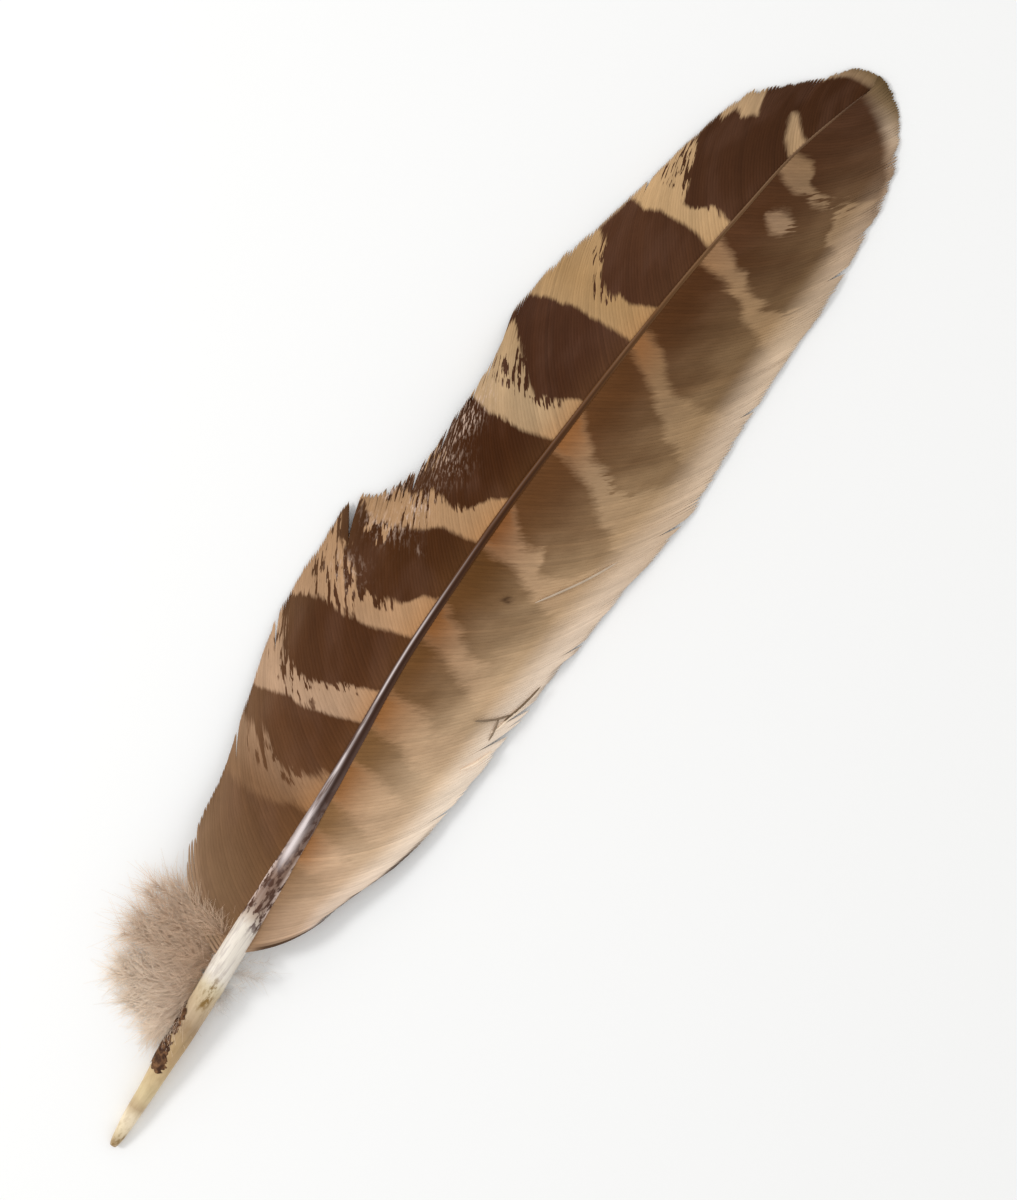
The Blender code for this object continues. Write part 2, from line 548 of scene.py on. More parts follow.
@dataclass(frozen=True)
class VaneFinish:
    """Barred web: brown bars on buff, bleached towards its outer margin."""

    name: str
    dark: Tones
    pale: Tones
    faded: Tones
    margin: Tones
    rust: Tones
    # Dark colour for real stains and for the painted shade along the curled rim
    stain_and_rim_shade: Tone = (52, 30, 16)
    glint: Tone = (206, 178, 158)
    streaks: Grain = Grain((1.5, 0.30, 1.0), 3.0, 0.6)
    hairs: Grain = Grain((3.4, 0.8, 1.0), 2.0, 0.6)
    clouds: Grain = Grain((0.16, 0.12, 1.0))
    blots: Grain = Grain((1.4, 0.30, 1.0), 2.5, 0.6)
    curls: Grain = Grain((1.7, 0.8, 1.0), 3.0, 0.6)
    sheen_range: Point2 = (0.46, 0.66)
    curl_range: Point2 = (0.49, 0.66)
    blot_range: Point2 = (0.48, 0.62)
    rust_range: Point2 = (-0.15, 1.0)
    streak_depth: float = 0.24
    cloud_depth: float = 0.32
    hair_depth: float = 0.3
    fraying: float = 1.3
    bump_strength: float = 0.25
    bump_height: float = 0.03
    sheen: Tone = (98, 70, 56)
    sheen_share: float = 0.1
    roughness: float = 0.6
    specular: float = 0.05

    def material(self) -> bpy.types.Material:
        """Wire the finish's nodes.

        Returns:
            A material that reads the vane's stored fields.
        """
        board = NodeBoard(self.name)
        along = board.field("along")
        place = board.vector_field("grain")
        streak = board.noise(place, self.streaks)
        fine = board.noise(place, self.hairs)
        cloud = board.noise(place, self.clouds)
        pale_share = self.pale_share(board, streak, fine, board.noise(place, self.blots))
        sheen = board.times(board.spread(cloud, *self.sheen_range), self.sheen_share)
        dark = board.mix(sheen, board.ramp(along, self.dark), tone(*self.sheen))
        colour = board.mix(pale_share, dark, board.ramp(along, self.pale))
        rust = board.times(board.field("rust"), board.spread(pale_share, *self.rust_range, Easing.STRAIGHT))
        colour = board.mix(rust, colour, board.ramp(along, self.rust))
        uneven = board.times(board.centred(cloud), board.field("cloudy"))
        faded = board.spread(board.maths("ADD", board.field("faded"), uneven), 0.0, 1.0, Easing.STRAIGHT)
        colour = board.mix(faded, colour, board.ramp(along, self.faded))
        colour = board.mix(board.field("margin"), colour, board.ramp(along, self.margin))
        curl = board.spread(board.noise(place, self.curls), *self.curl_range)
        colour = board.mix(board.times(curl, board.field("glint")), colour, tone(*self.glint))
        # Real stains, and painted shade along the curled rim, darken the web
        colour = board.mix(board.field("stain_and_rim_shade"), colour, tone(*self.stain_and_rim_shade))
        lift = board.times(board.factor(streak, self.streak_depth), board.factor(cloud, self.cloud_depth))
        lift = board.times(board.times(lift, board.field("tint")), board.factor(fine, self.hair_depth))
        board.bump(fine, self.bump_strength, self.bump_height * MM)
        board.set(Base_Color=board.shaded(colour, lift), Roughness=self.roughness)
        board.set(Specular_IOR_Level=self.specular)
        return board.material

    def pale_share(self, board: NodeBoard, streak: Socket, fine: Socket, blots: Socket) -> Socket:
        """How pale the ground is, its bars broken up by streaks that run along the barbs.

        Args:
            board: The board to wire on.
            streak: Long soft streaks.
            fine: Short fine streaks.
            blots: Blots as long as a fleck.

        Returns:
            The share of pale colour.
        """
        frayed = board.times(board.centred(streak), board.field("fleck"))
        bar = board.maths("ADD", board.field("bar"), frayed)
        bar = board.maths("ADD", bar, board.times(board.centred(fine), self.fraying))
        fleck = board.times(board.spread(blots, *self.blot_range), board.field("mottle"))
        return board.spread(board.maths("SUBTRACT", bar, fleck), -1.0, 1.0)


LEADING_FINISH = VaneFinish(
    name="dark_barred_vane",
    dark=(
        (0.16, (128, 100, 72)), (0.22, (115, 85, 58)), (0.27, (101, 68, 42)), (0.34, (86, 52, 28)),
        (0.42, (76, 44, 22)), (0.50, (69, 38, 14)), (0.60, (64, 33, 11)), (0.70, (71, 42, 26)),
        (0.79, (77, 47, 29)), (0.95, (63, 36, 18)),
    ),
    pale=(
        (0.29, (123, 89, 61)), (0.36, (179, 146, 118)), (0.45, (171, 134, 100)), (0.55, (168, 132, 96)),
        (0.64, (177, 148, 113)), (0.74, (167, 132, 90)), (0.83, (190, 155, 113)),
        (0.94, (172, 142, 108)),
    ),
    faded=((0.18, (168, 138, 112)), (0.45, (176, 142, 106))),
    margin=(
        (0.20, (150, 124, 98)), (0.45, (176, 142, 106)), (0.75, (190, 160, 128)),
        (0.93, (164, 134, 104)), (0.965, (176, 148, 116)), (0.985, (160, 132, 102)),
        (0.996, (128, 104, 74)),
    ),
    sheen_share=0.2,
    rust=((0.3, (180, 128, 80)), (0.8, (180, 130, 82))),
)

TRAILING_FINISH = VaneFinish(
    name="pale_barred_vane",
    dark=(
        (0.22, (148, 117, 88)), (0.29, (136, 101, 65)), (0.36, (119, 86, 51)), (0.43, (102, 69, 37)),
        (0.52, (94, 62, 30)), (0.59, (96, 62, 34)), (0.67, (86, 54, 28)), (0.77, (76, 45, 22)),
        (0.90, (76, 47, 27)), (0.98, (74, 47, 30)),
    ),
    pale=(
        (0.25, (178, 142, 110)), (0.36, (172, 136, 102)), (0.46, (158, 124, 94)),
        (0.55, (172, 138, 106)), (0.63, (158, 128, 98)), (0.72, (136, 106, 76)), (0.80, (152, 120, 88)),
        (0.86, (148, 120, 94)), (0.92, (138, 110, 80)),
    ),
    faded=(
        (0.21, (214, 181, 152)), (0.29, (216, 186, 154)), (0.36, (218, 188, 154)),
        (0.42, (212, 181, 145)), (0.54, (202, 170, 132)), (0.64, (192, 160, 120)),
        (0.78, (188, 156, 114)), (0.90, (180, 150, 110)),
    ),
    margin=(
        (0.21, (218, 192, 170)), (0.29, (238, 216, 194)), (0.36, (251, 231, 209)),
        (0.42, (247, 228, 208)), (0.52, (236, 212, 188)), (0.62, (216, 189, 161)),
        (0.72, (222, 197, 171)), (0.80, (216, 190, 161)), (0.88, (200, 174, 148)),
        (0.95, (164, 136, 110)), (0.968, (192, 168, 142)), (0.985, (136, 112, 82)),
        (0.995, (100, 80, 52)),
    ),
    rust=((0.36, (145, 96, 53)), (0.45, (134, 86, 44)), (0.55, (126, 78, 40)), (0.64, (144, 94, 52))),
)


@dataclass(frozen=True)
class HornFinish:
    """Smooth horn: straw-clear quill, white where it turns solid, dark shaft beyond."""

    name: str = "quill_horn"
    body: Tones = (
        (0.000, (176, 150, 116)), (0.006, (194, 172, 136)), (0.014, (232, 214, 180)),
        (0.026, (240, 223, 193)), (0.034, (208, 186, 150)), (0.0365, (168, 140, 106)),
        (0.040, (210, 188, 148)), (0.050, (214, 193, 151)), (0.065, (206, 180, 138)),
        (0.080, (190, 160, 120)), (0.095, (184, 155, 116)), (0.108, (168, 142, 112)),
        (0.118, (188, 164, 134)), (0.134, (204, 182, 148)), (0.144, (216, 200, 168)),
        (0.154, (242, 233, 219)), (0.198, (236, 226, 212)), (0.206, (196, 178, 160)),
        (0.214, (158, 134, 118)), (0.232, (136, 110, 96)), (0.258, (128, 100, 82)),
        (0.285, (126, 106, 98)), (0.340, (92, 70, 62)), (0.400, (84, 58, 44)), (0.450, (82, 54, 36)),
        (0.560, (86, 50, 16)), (0.680, (100, 64, 32)), (0.800, (116, 82, 50)), (0.900, (118, 88, 60)),
        (0.945, (120, 90, 64)), (0.965, (94, 67, 46)), (0.984, (82, 56, 37)),
    )
    blotch: Tone = (84, 58, 46)
    pale: Tone = (218, 196, 184)
    # Painted highlight: a pale line along the shaft's top where the lamp would glint
    painted_highlight: Tone = (226, 214, 212)
    # Painted shade on the shaft's flanks and underside, and in the crease beside the painted highlight
    shaded_groove: Tone = (50, 27, 16)
    grime: Tone = (140, 110, 64)
    crumple: Tone = (176, 164, 158)
    fibres: Grain = Grain((2600.0, 160.0, 2600.0), 3.0, 0.6)
    blots: Grain = Grain((1500.0, 620.0, 1500.0), 4.0, 0.65)
    streaks: Grain = Grain((1800.0, 90.0, 1800.0))
    fibre_depth: float = 0.30
    bump_strength: float = 0.3
    bump_height: float = 0.04
    roughness: float = 0.34
    specular: float = 0.11

    def material(self) -> bpy.types.Material:
        """Wire the finish's nodes.

        Returns:
            A material that reads the shaft's stored fields.
        """
        board = NodeBoard(self.name)
        place = board.object_place()
        fibres = board.noise(place, self.fibres)
        blots = board.noise(place, self.blots)
        streaks = board.noise(place, self.streaks)
        colour = board.ramp(board.field("along"), self.body)
        layers = (
            ("pale_side", None, self.pale),
            ("pith", board.spread(blots, 0.44, 0.56), self.blotch),
            ("grime", board.spread(blots, 0.42, 0.66), self.grime),
            ("crumple", board.spread(fibres, 0.42, 0.62), self.crumple),
            # painted highlight along the top, broken by streaks
            ("painted_highlight", board.spread(streaks, 0.28, 0.52), self.painted_highlight),
            # painted shade on the flanks, the underside and the crease
            ("shaded_groove", None, self.shaded_groove),
        )
        for name, pattern, layer_tone in layers:
            share = board.field(name)
            if pattern is not None:
                share = board.times(pattern, share)
            colour = board.mix(share, colour, tone(*layer_tone))
        board.bump(fibres, self.bump_strength, self.bump_height * MM)
        board.set(Base_Color=board.shaded(colour, board.factor(fibres, self.fibre_depth)))
        board.set(Roughness=self.roughness, Specular_IOR_Level=self.specular)
        return board.material


@dataclass(frozen=True)
class DownFinish:
    """Soft barbs of the down, lighter towards their ends."""

    name: str
    root: Tone
    end: Tone
    mottle: Grain = Grain((700.0, 700.0, 700.0))
    mottle_depth: float = 0.3

    def material(self) -> bpy.types.Material:
        """Wire the finish's nodes.

        Returns:
            A material that reads the tuft's stored fields.
        """
        board = NodeBoard(self.name)
        mottle = board.factor(board.noise(board.object_place(), self.mottle), self.mottle_depth)
        colour = board.mix(board.field("reach"), tone(*self.root), tone(*self.end))
        board.set(Base_Color=board.shaded(colour, board.times(mottle, board.field("tint"))))
        board.set(Roughness=0.9, Specular_IOR_Level=0.05)
        return board.material


@dataclass(frozen=True)
class SheathFinish:
    """Dry torn sheath still sticking to the quill."""

    name: str = "torn_sheath"
    dark: Tone = (66, 40, 24)
    light: Tone = (132, 94, 62)
    flakes: Grain = Grain((1600.0, 1600.0, 1600.0), 4.0, 0.6)
    bump_height: float = 0.05

    def material(self) -> bpy.types.Material:
        """Wire the finish's nodes.

        Returns:
            A flaky brown material.
        """
        board = NodeBoard(self.name)
        flakes = board.noise(board.object_place(), self.flakes)
        colour = board.mix(board.spread(flakes, 0.4, 0.7), tone(*self.dark), tone(*self.light))
        board.bump(flakes, 0.5, self.bump_height * MM)
        board.set(Base_Color=colour, Roughness=0.7, Specular_IOR_Level=0.2)
        return board.material


# ---------------------------------------------------------------- vanes


@dataclass(frozen=True)
class PaleBar:
    """A pale bar: its two boundaries as (distance from the shaft, y) pairs."""

    lower: tuple[Point2, ...]
    upper: tuple[Point2, ...]
    softness: float = 0.40
    ragged_lower: float = 0.10
    ragged_upper: float = 0.34

    def depth(self, reach: Array, y: Array, jitter: Array, outward: Array) -> Array:
        """How far inside the bar each point is, in units of the bar's softness.

        Args:
            reach: Distance of each point from the shaft.
            y: Each point's y.
            jitter: Two random values for each point, for the two boundaries.
            outward: How far across the vane each point is, from 0 to 1.

        Returns:
            A positive number inside the bar and a negative one outside it.
        """
        fray = 0.35 + 1.3 * outward
        low = read_at(self.lower, reach) + jitter[0] * self.ragged_lower * fray
        high = read_at(self.upper, reach) + jitter[1] * self.ragged_upper * fray
        return np.minimum(y - low, high - y) / self.softness


@dataclass(frozen=True)
class Split:
    """A place where barbs have come unhooked: they part from this share of their length."""

    root_y: float
    opening: float
    spread: float = 1.6
    starts: float = 0.7


@dataclass(frozen=True)
class Patch:
    """A soft-edged patch on the web, centred at a distance from the shaft and a y."""

    reach: float
    y: float
    wide: float
    high: float
    strength: float

    def share(self, reach: Array, y: Array) -> Array:
        """The patch's strength at each point."""
        off = ((reach - self.reach) / self.wide) ** 2 + ((y - self.y) / self.high) ** 2
        return self.strength * np.exp(-off)


def patched(patches: tuple[Patch, ...], reach: Array, y: Array) -> Array:
    """The patches' strengths at each point, added up."""
    return sum((patch.share(reach, y) for patch in patches), np.zeros_like(reach))


@dataclass(frozen=True)
class WebPlan:
    """The lie of one vane's barbs."""

    side: Side
    outline: tuple[Point2, ...]
    barbs: tuple[Point2, ...]
    outline_rise: tuple[Point2, ...]
    rim: tuple[Point2, ...]
    sweep: float = 0.09
    droop: float = 1.7
    splits: tuple[Split, ...] = ()
    worn: tuple[float, float] | None = None  # roots between which the barbs are worn short
    downy: tuple[float, float] = (-49.8, -54.0)  # roots over which the barbs turn loose


LEADING_PLAN = WebPlan(
    side=Side.LEADING,
    outline=(
        (-8.90, -45.0), (-9.90, -39.8), (-11.2, -33.2), (-13.0, -27.5), (-15.3, -20.6), (-16.8, -13.8),
        (-17.35, -5.8), (-17.1, 1.7), (-14.6, 4.6), (-13.5, 7.5), (-13.3, 20.0), (-13.6, 26.5),
        (-14.6, 30.3), (-14.6, 34.2), (-13.5, 41.0), (-11.9, 47.8), (-10.5, 54.7), (-9.4, 60.4),
        (-8.2, 65.7), (-6.6, 70.0), (-4.5, 72.0), (-2.0, 74.4), (-0.4, 76.2), (0.80, 77.9),
        (2.30, 79.4), (5.10, 80.0),
    ),
    barbs=(
        (-53.5, -45.0), (-49.6, -38.6), (-34.3, -19.0), (-11.5, 5.8), (22.7, 41.0), (45.6, 62.0),
        (57.0, 71.2), (66.0, 75.7), (77.6, 79.98),
    ),
    outline_rise=((-45, 2.6), (-40, 2.1), (-25, 1.0), (-10, 0.15), (80, 0.15)),
    rim=(
        (15.0, 0.3), (28.0, 0.5), (34.0, 0.8), (56.0, 0.9), (68.0, 0.4), (75.0, 0.3), (77.0, 1.2),
        (78.2, 2.4), (80.0, 3.0),
    ),
    splits=(
        Split(-42.0, 0.7, 2.0, 0.62), Split(-31.0, 0.6, 1.5, 0.72), Split(-16.5, 0.9, 2.0, 0.72),
        Split(-8.0, 0.7, 1.2, 0.75), Split(-2.0, 0.6, 1.0, 0.7), Split(4.0, 0.6, 1.2, 0.72),
        Split(7.6, 0.8, 1.2, 0.68), Split(11.0, 0.9, 1.2, 0.75), Split(37.0, 0.5, 1.4, 0.82),
    ),
    worn=(-14.0, 10.0),
)

TRAILING_PLAN = WebPlan(
    side=Side.TRAILING,
    outline=(
        (9.80, -41.6), (11.6, -36.6), (13.1, -32.1), (14.5, -22.9), (14.95, -13.8), (15.2, -4.7),
        (16.0, 7.9), (16.9, 18.2), (17.35, 24.6), (16.7, 33.0), (16.0, 44.0), (15.8, 54.7),
        (14.8, 63.8), (13.0, 72.0), (10.9, 75.9), (7.50, 79.3), (4.90, 80.0),
    ),
    barbs=(
        (-51.5, -41.6), (-34.3, -17.2), (-11.5, 8.6), (22.7, 43.3), (45.6, 63.8), (57.0, 71.4),
        (66.0, 76.2), (77.6, 79.98),
    ),
    outline_rise=((-42, 2.2), (-25, 1.1), (-8, 0.15), (80, 0.15)),
    rim=((60.0, 0.0), (64.0, 0.6), (70.0, 1.4), (74.0, 2.8), (76.0, 3.3), (80.0, 3.4)),
    splits=(
        Split(-49.5, 0.7, 1.2, 0.6), Split(-46.5, 1.0, 1.5, 0.62), Split(-38.0, 0.7, 1.5, 0.7),
        Split(-28.0, 1.0, 1.5, 0.66), Split(-26.4, 0.6, 0.9, 0.78), Split(-25.0, 0.8, 1.2, 0.74),
        Split(-16.0, 0.5, 1.2, 0.82), Split(2.0, 0.7, 1.4, 0.80), Split(18.0, 0.5, 1.4, 0.84),
        Split(40.0, 0.6, 1.4, 0.84),
    ),
)

LEADING_BARS = (
    PaleBar(
        lower=((5.6, 69.0), (6.6, 67.0), (8.0, 65.9), (11.5, 66.0)),
        upper=((5.6, 65.6), (6.9, 67.2), (8.1, 69.3), (9.0, 71.2), (11.5, 72.0)),
        softness=0.6, ragged_lower=0.3, ragged_upper=0.3,
    ),
    PaleBar(
        lower=((0.3, 65.2), (1.0, 65.7), (2.2, 66.6), (3.1, 68.1), (3.9, 69.3), (4.8, 71.5)),
        upper=((0.3, 68.1), (1.0, 68.2), (2.2, 68.9), (3.1, 69.7), (3.9, 69.8), (4.8, 68.0)),
        softness=0.6, ragged_lower=0.3, ragged_upper=0.3,
    ),
    PaleBar(
        lower=((0.0, 50.4), (2.2, 51.0), (5.6, 50.9), (9.0, 50.1), (11.5, 50.1)),
        upper=(
            (0.0, 54.2), (3.0, 54.7), (4.6, 53.2), (6.0, 52.8), (7.0, 55.2), (9.0, 59.0), (11.5, 62.5),
        ),
    ),
    PaleBar(
        lower=((0.0, 35.7), (5.6, 35.5), (8.4, 35.2), (11.5, 34.2), (14.0, 33.7)),
        upper=(
            (0.0, 41.0), (2.5, 39.5), (5.6, 38.4), (8.0, 39.6), (9.6, 42.6), (11.5, 44.6), (14.0, 44.8),
        ),
    ),
    PaleBar(
        lower=((0.0, 20.7), (4.0, 19.5), (8.0, 19.1), (12.0, 19.3)),
        upper=((0.0, 26.4), (3.0, 24.8), (5.1, 23.2), (7.0, 23.9), (9.0, 25.6), (12.0, 29.0)),
    ),
    PaleBar(
        lower=((0.0, 5.4), (2.7, 4.7), (5.0, 4.2), (6.5, 2.9), (8.5, 1.7), (12.0, 0.6)),
        upper=((0.0, 11.8), (2.2, 10.2), (4.0, 8.3), (6.0, 7.4), (8.0, 6.6), (12.0, 4.6)),
    ),
    PaleBar(
        lower=((0.0, -8.3), (4.0, -9.7), (7.0, -10.8), (10.0, -11.1), (13.6, -11.3), (16.0, -12.9)),
        upper=(
            (0.0, -2.8), (2.3, -4.0), (4.0, -6.4), (8.0, -7.0), (9.5, -7.6), (11.5, -5.6), (14.5, -4.0),
            (16.0, -1.4),
        ),
    ),
    PaleBar(
        lower=((0.0, -20.2), (2.5, -21.1), (5.0, -22.0), (7.5, -22.9), (11.0, -23.4), (14.5, -24.5)),
        upper=(
            (0.0, -15.8), (3.0, -17.0), (5.5, -18.4), (7.5, -19.7), (10.0, -20.0), (12.5, -19.6),
            (14.2, -17.0), (16.0, -14.0),
        ),
        softness=0.3,
    ),
    PaleBar(
        lower=((0.0, -32.7), (3.0, -33.2), (5.0, -34.3), (8.0, -35.0), (14.0, -34.6)),
        upper=((0.0, -27.9), (6.0, -29.2), (9.0, -29.6), (14.0, -28.7)),
        softness=0.6, ragged_upper=0.7,
    ),
)

LEADING_MOTTLES = (
    Patch(9.0, 57.0, 2.6, 3.6, 14.0), Patch(4.5, 54.5, 2.5, 0.9, 5.0), Patch(9.6, 41.5, 1.6, 2.0, 10.0),
    Patch(6.5, 38.2, 1.8, 1.2, 10.0), Patch(9.5, 24.8, 3.4, 2.8, 14.0), Patch(4.6, 23.8, 2.2, 1.3, 9.0),
    Patch(5.0, 8.0, 2.5, 1.0, 7.0), Patch(10.0, 5.0, 3.0, 2.6, 12.0), Patch(12.5, -7.5, 4.2, 2.6, 16.0),
    Patch(6.0, -7.2, 2.4, 1.0, 4.0), Patch(15.5, -2.0, 2.0, 3.0, 12.0),
    Patch(10.5, -20.6, 3.8, 1.6, 14.0), Patch(4.6, -18.0, 2.5, 1.0, 7.0),
    Patch(14.5, -17.0, 1.5, 3.0, 10.0), Patch(8.0, -31.0, 4.5, 1.6, 7.0),
)

LEADING_PALE_FLECKS = (
    Patch(11.2, -0.6, 2.2, 2.2, 11.0), Patch(10.5, 10.5, 1.8, 3.0, 11.0),
    Patch(14.0, -4.0, 1.5, 2.0, 9.0), Patch(7.5, 20.0, 2.0, 0.9, 5.0),
)

LEADING_GLINTS = (
    Patch(10.2, 17.3, 1.3, 3.8, 1.1), Patch(9.2, 11.0, 2.2, 2.2, 0.6), Patch(8.9, 4.2, 1.4, 2.4, 1.1),
    Patch(11.3, 0.2, 2.6, 1.5, 0.6), Patch(11.9, -6.7, 2.2, 1.8, 0.6), Patch(5.6, 0.6, 0.5, 0.5, 0.5),
)

TRAILING_BARS = (
    PaleBar(
        lower=((0.3, 62.9), (2.3, 62.0), (3.4, 61.8), (4.6, 62.5), (6.0, 62.0), (7.6, 63.0), (8.4, 65.0)),
        upper=(
            (0.3, 66.1), (2.3, 66.3), (3.2, 65.6), (3.9, 64.1), (4.8, 63.5), (6.0, 63.3), (7.6, 63.4),
            (8.4, 61.5),
        ),
        softness=0.6, ragged_lower=0.2, ragged_upper=0.3,
    ),
    PaleBar(
        lower=(
            (7.2, 65.5), (7.8, 63.6), (8.4, 62.7), (9.1, 61.5), (10.3, 59.7), (11.4, 59.3),
            (14.0, 58.4),
        ),
        upper=((7.2, 61.0), (7.8, 63.4), (8.4, 64.4), (8.9, 65.2), (11.4, 66.0), (14.0, 68.0)),
        softness=0.7, ragged_lower=0.35, ragged_upper=0.5,
    ),
    PaleBar(
        lower=((1.4, 60.5), (2.2, 58.0), (3.4, 56.8), (4.3, 56.2), (5.3, 56.6), (6.4, 57.7), (7.2, 60.0)),
        upper=((1.4, 55.5), (2.2, 57.8), (3.4, 59.0), (4.3, 59.5), (5.3, 59.1), (6.4, 58.1), (7.2, 55.5)),
        softness=0.75, ragged_lower=0.2, ragged_upper=0.3,
    ),
    PaleBar(
        lower=(
            (0.0, 48.5), (5.0, 48.1), (6.9, 46.9), (8.5, 45.8), (9.6, 45.3), (12.0, 44.7), (14.3, 44.2),
            (15.7, 42.8),
        ),
        upper=(
            (0.0, 52.0), (2.9, 51.4), (4.0, 50.2), (5.3, 50.6), (6.2, 49.4), (10.0, 48.5), (12.3, 50.1),
            (15.7, 53.8),
        ),
        softness=0.8, ragged_lower=0.25, ragged_upper=0.4,
    ),
    PaleBar(
        lower=(
            (0.5, 34.8), (3.3, 33.5), (6.0, 31.9), (8.3, 30.3), (10.6, 28.7), (13.0, 27.8),
            (16.5, 28.2),
        ),
        upper=(
            (0.5, 37.6), (3.3, 36.9), (6.0, 34.6), (8.0, 33.5), (10.6, 33.5), (13.0, 34.2),
            (16.5, 36.4),
        ),
        softness=0.85, ragged_lower=0.3, ragged_upper=0.35,
    ),
    PaleBar(
        lower=(
            (0.0, 19.8), (3.0, 19.5), (6.3, 18.6), (8.6, 16.8), (10.8, 15.4), (13.1, 14.5),
            (16.6, 14.0),
        ),
        upper=(
            (0.0, 25.2), (3.0, 22.7), (4.6, 21.6), (6.4, 21.6), (8.2, 20.9), (9.8, 19.8), (11.4, 21.1),
            (14.0, 24.0), (17.0, 27.0),
        ),
        softness=0.95, ragged_lower=0.3, ragged_upper=0.45,
    ),
    PaleBar(
        lower=((0.0, 5.4), (4.3, 5.6), (6.2, 4.9), (7.8, 4.0), (9.4, 3.3), (12.4, 2.6), (17.0, 2.2)),
        upper=(
            (0.0, 11.3), (3.1, 8.6), (5.2, 8.1), (6.6, 9.7), (7.7, 6.6), (9.3, 7.0), (11.1, 7.9),
            (13.0, 11.3), (17.0, 16.5),
        ),
        softness=1.0, ragged_lower=0.3, ragged_upper=0.5,
    ),
    PaleBar(
        lower=((0.0, -7.6), (3.8, -8.1), (6.1, -8.8), (8.3, -9.7), (10.6, -10.8), (16.0, -11.6)),
        upper=((0.0, -2.8), (3.4, -4.2), (5.7, -5.6), (8.4, -6.5), (10.7, -5.8), (16.0, -4.2)),
        softness=1.1, ragged_lower=0.3, ragged_upper=0.45,
    ),
    PaleBar(
        lower=((0.0, -20.0), (5.0, -20.0), (7.3, -21.1), (9.6, -21.8), (15.0, -22.9)),
        upper=((0.0, -15.4), (5.2, -15.6), (7.6, -16.0), (10.0, -14.6), (15.0, -11.8)),
        softness=1.2,
    ),
    PaleBar(
        lower=((0.0, -29.8), (3.8, -30.2), (7.0, -31.1)),
        upper=((0.0, -24.8), (3.8, -25.2), (7.0, -25.4)),
        softness=0.9,
    ),
    PaleBar(
        lower=((0.0, -38.2), (5.0, -38.6)),
        upper=((0.0, -34.4), (5.0, -34.4)),
        softness=1.0,
    ),
)

TRAILING_MOTTLES = (
    Patch(12.0, 51.0, 2.4, 2.4, 4.0), Patch(9.5, 64.0, 2.6, 1.6, 4.0), Patch(5.5, 63.5, 2.0, 0.9, 3.0),
    Patch(9.0, 20.4, 2.4, 1.2, 3.5), Patch(5.8, 58.4, 1.2, 0.8, 4.0),
)

TRAILING_PALE_FLECKS = (Patch(12.2, 54.5, 2.0, 2.6, 3.5),)

TRAILING_STAINS = (Patch(6.4, 1.75, 0.42, 0.34, 1.3),)


@dataclass(frozen=True)
class Stray:
    """How far barbs stray from a neat sheet, in millimetres unless a share is meant."""

    waver: float = 0.09  # from side to side
    loose_waver: float = 3.0  # how many times more where they are downy
    full_reach: float = 3.0  # barbs shorter than this waver less
    ripple: float = 0.12  # up and down, many barbs together
    fine_ripple: float = 0.04
    cut: float = 0.22  # ends worn short, everywhere
    worn_cut: float = 0.8
    loose_cut: float = 0.9
    most_cut: float = 0.25  # share of a barb that wear takes at most
    curl: float = 0.45


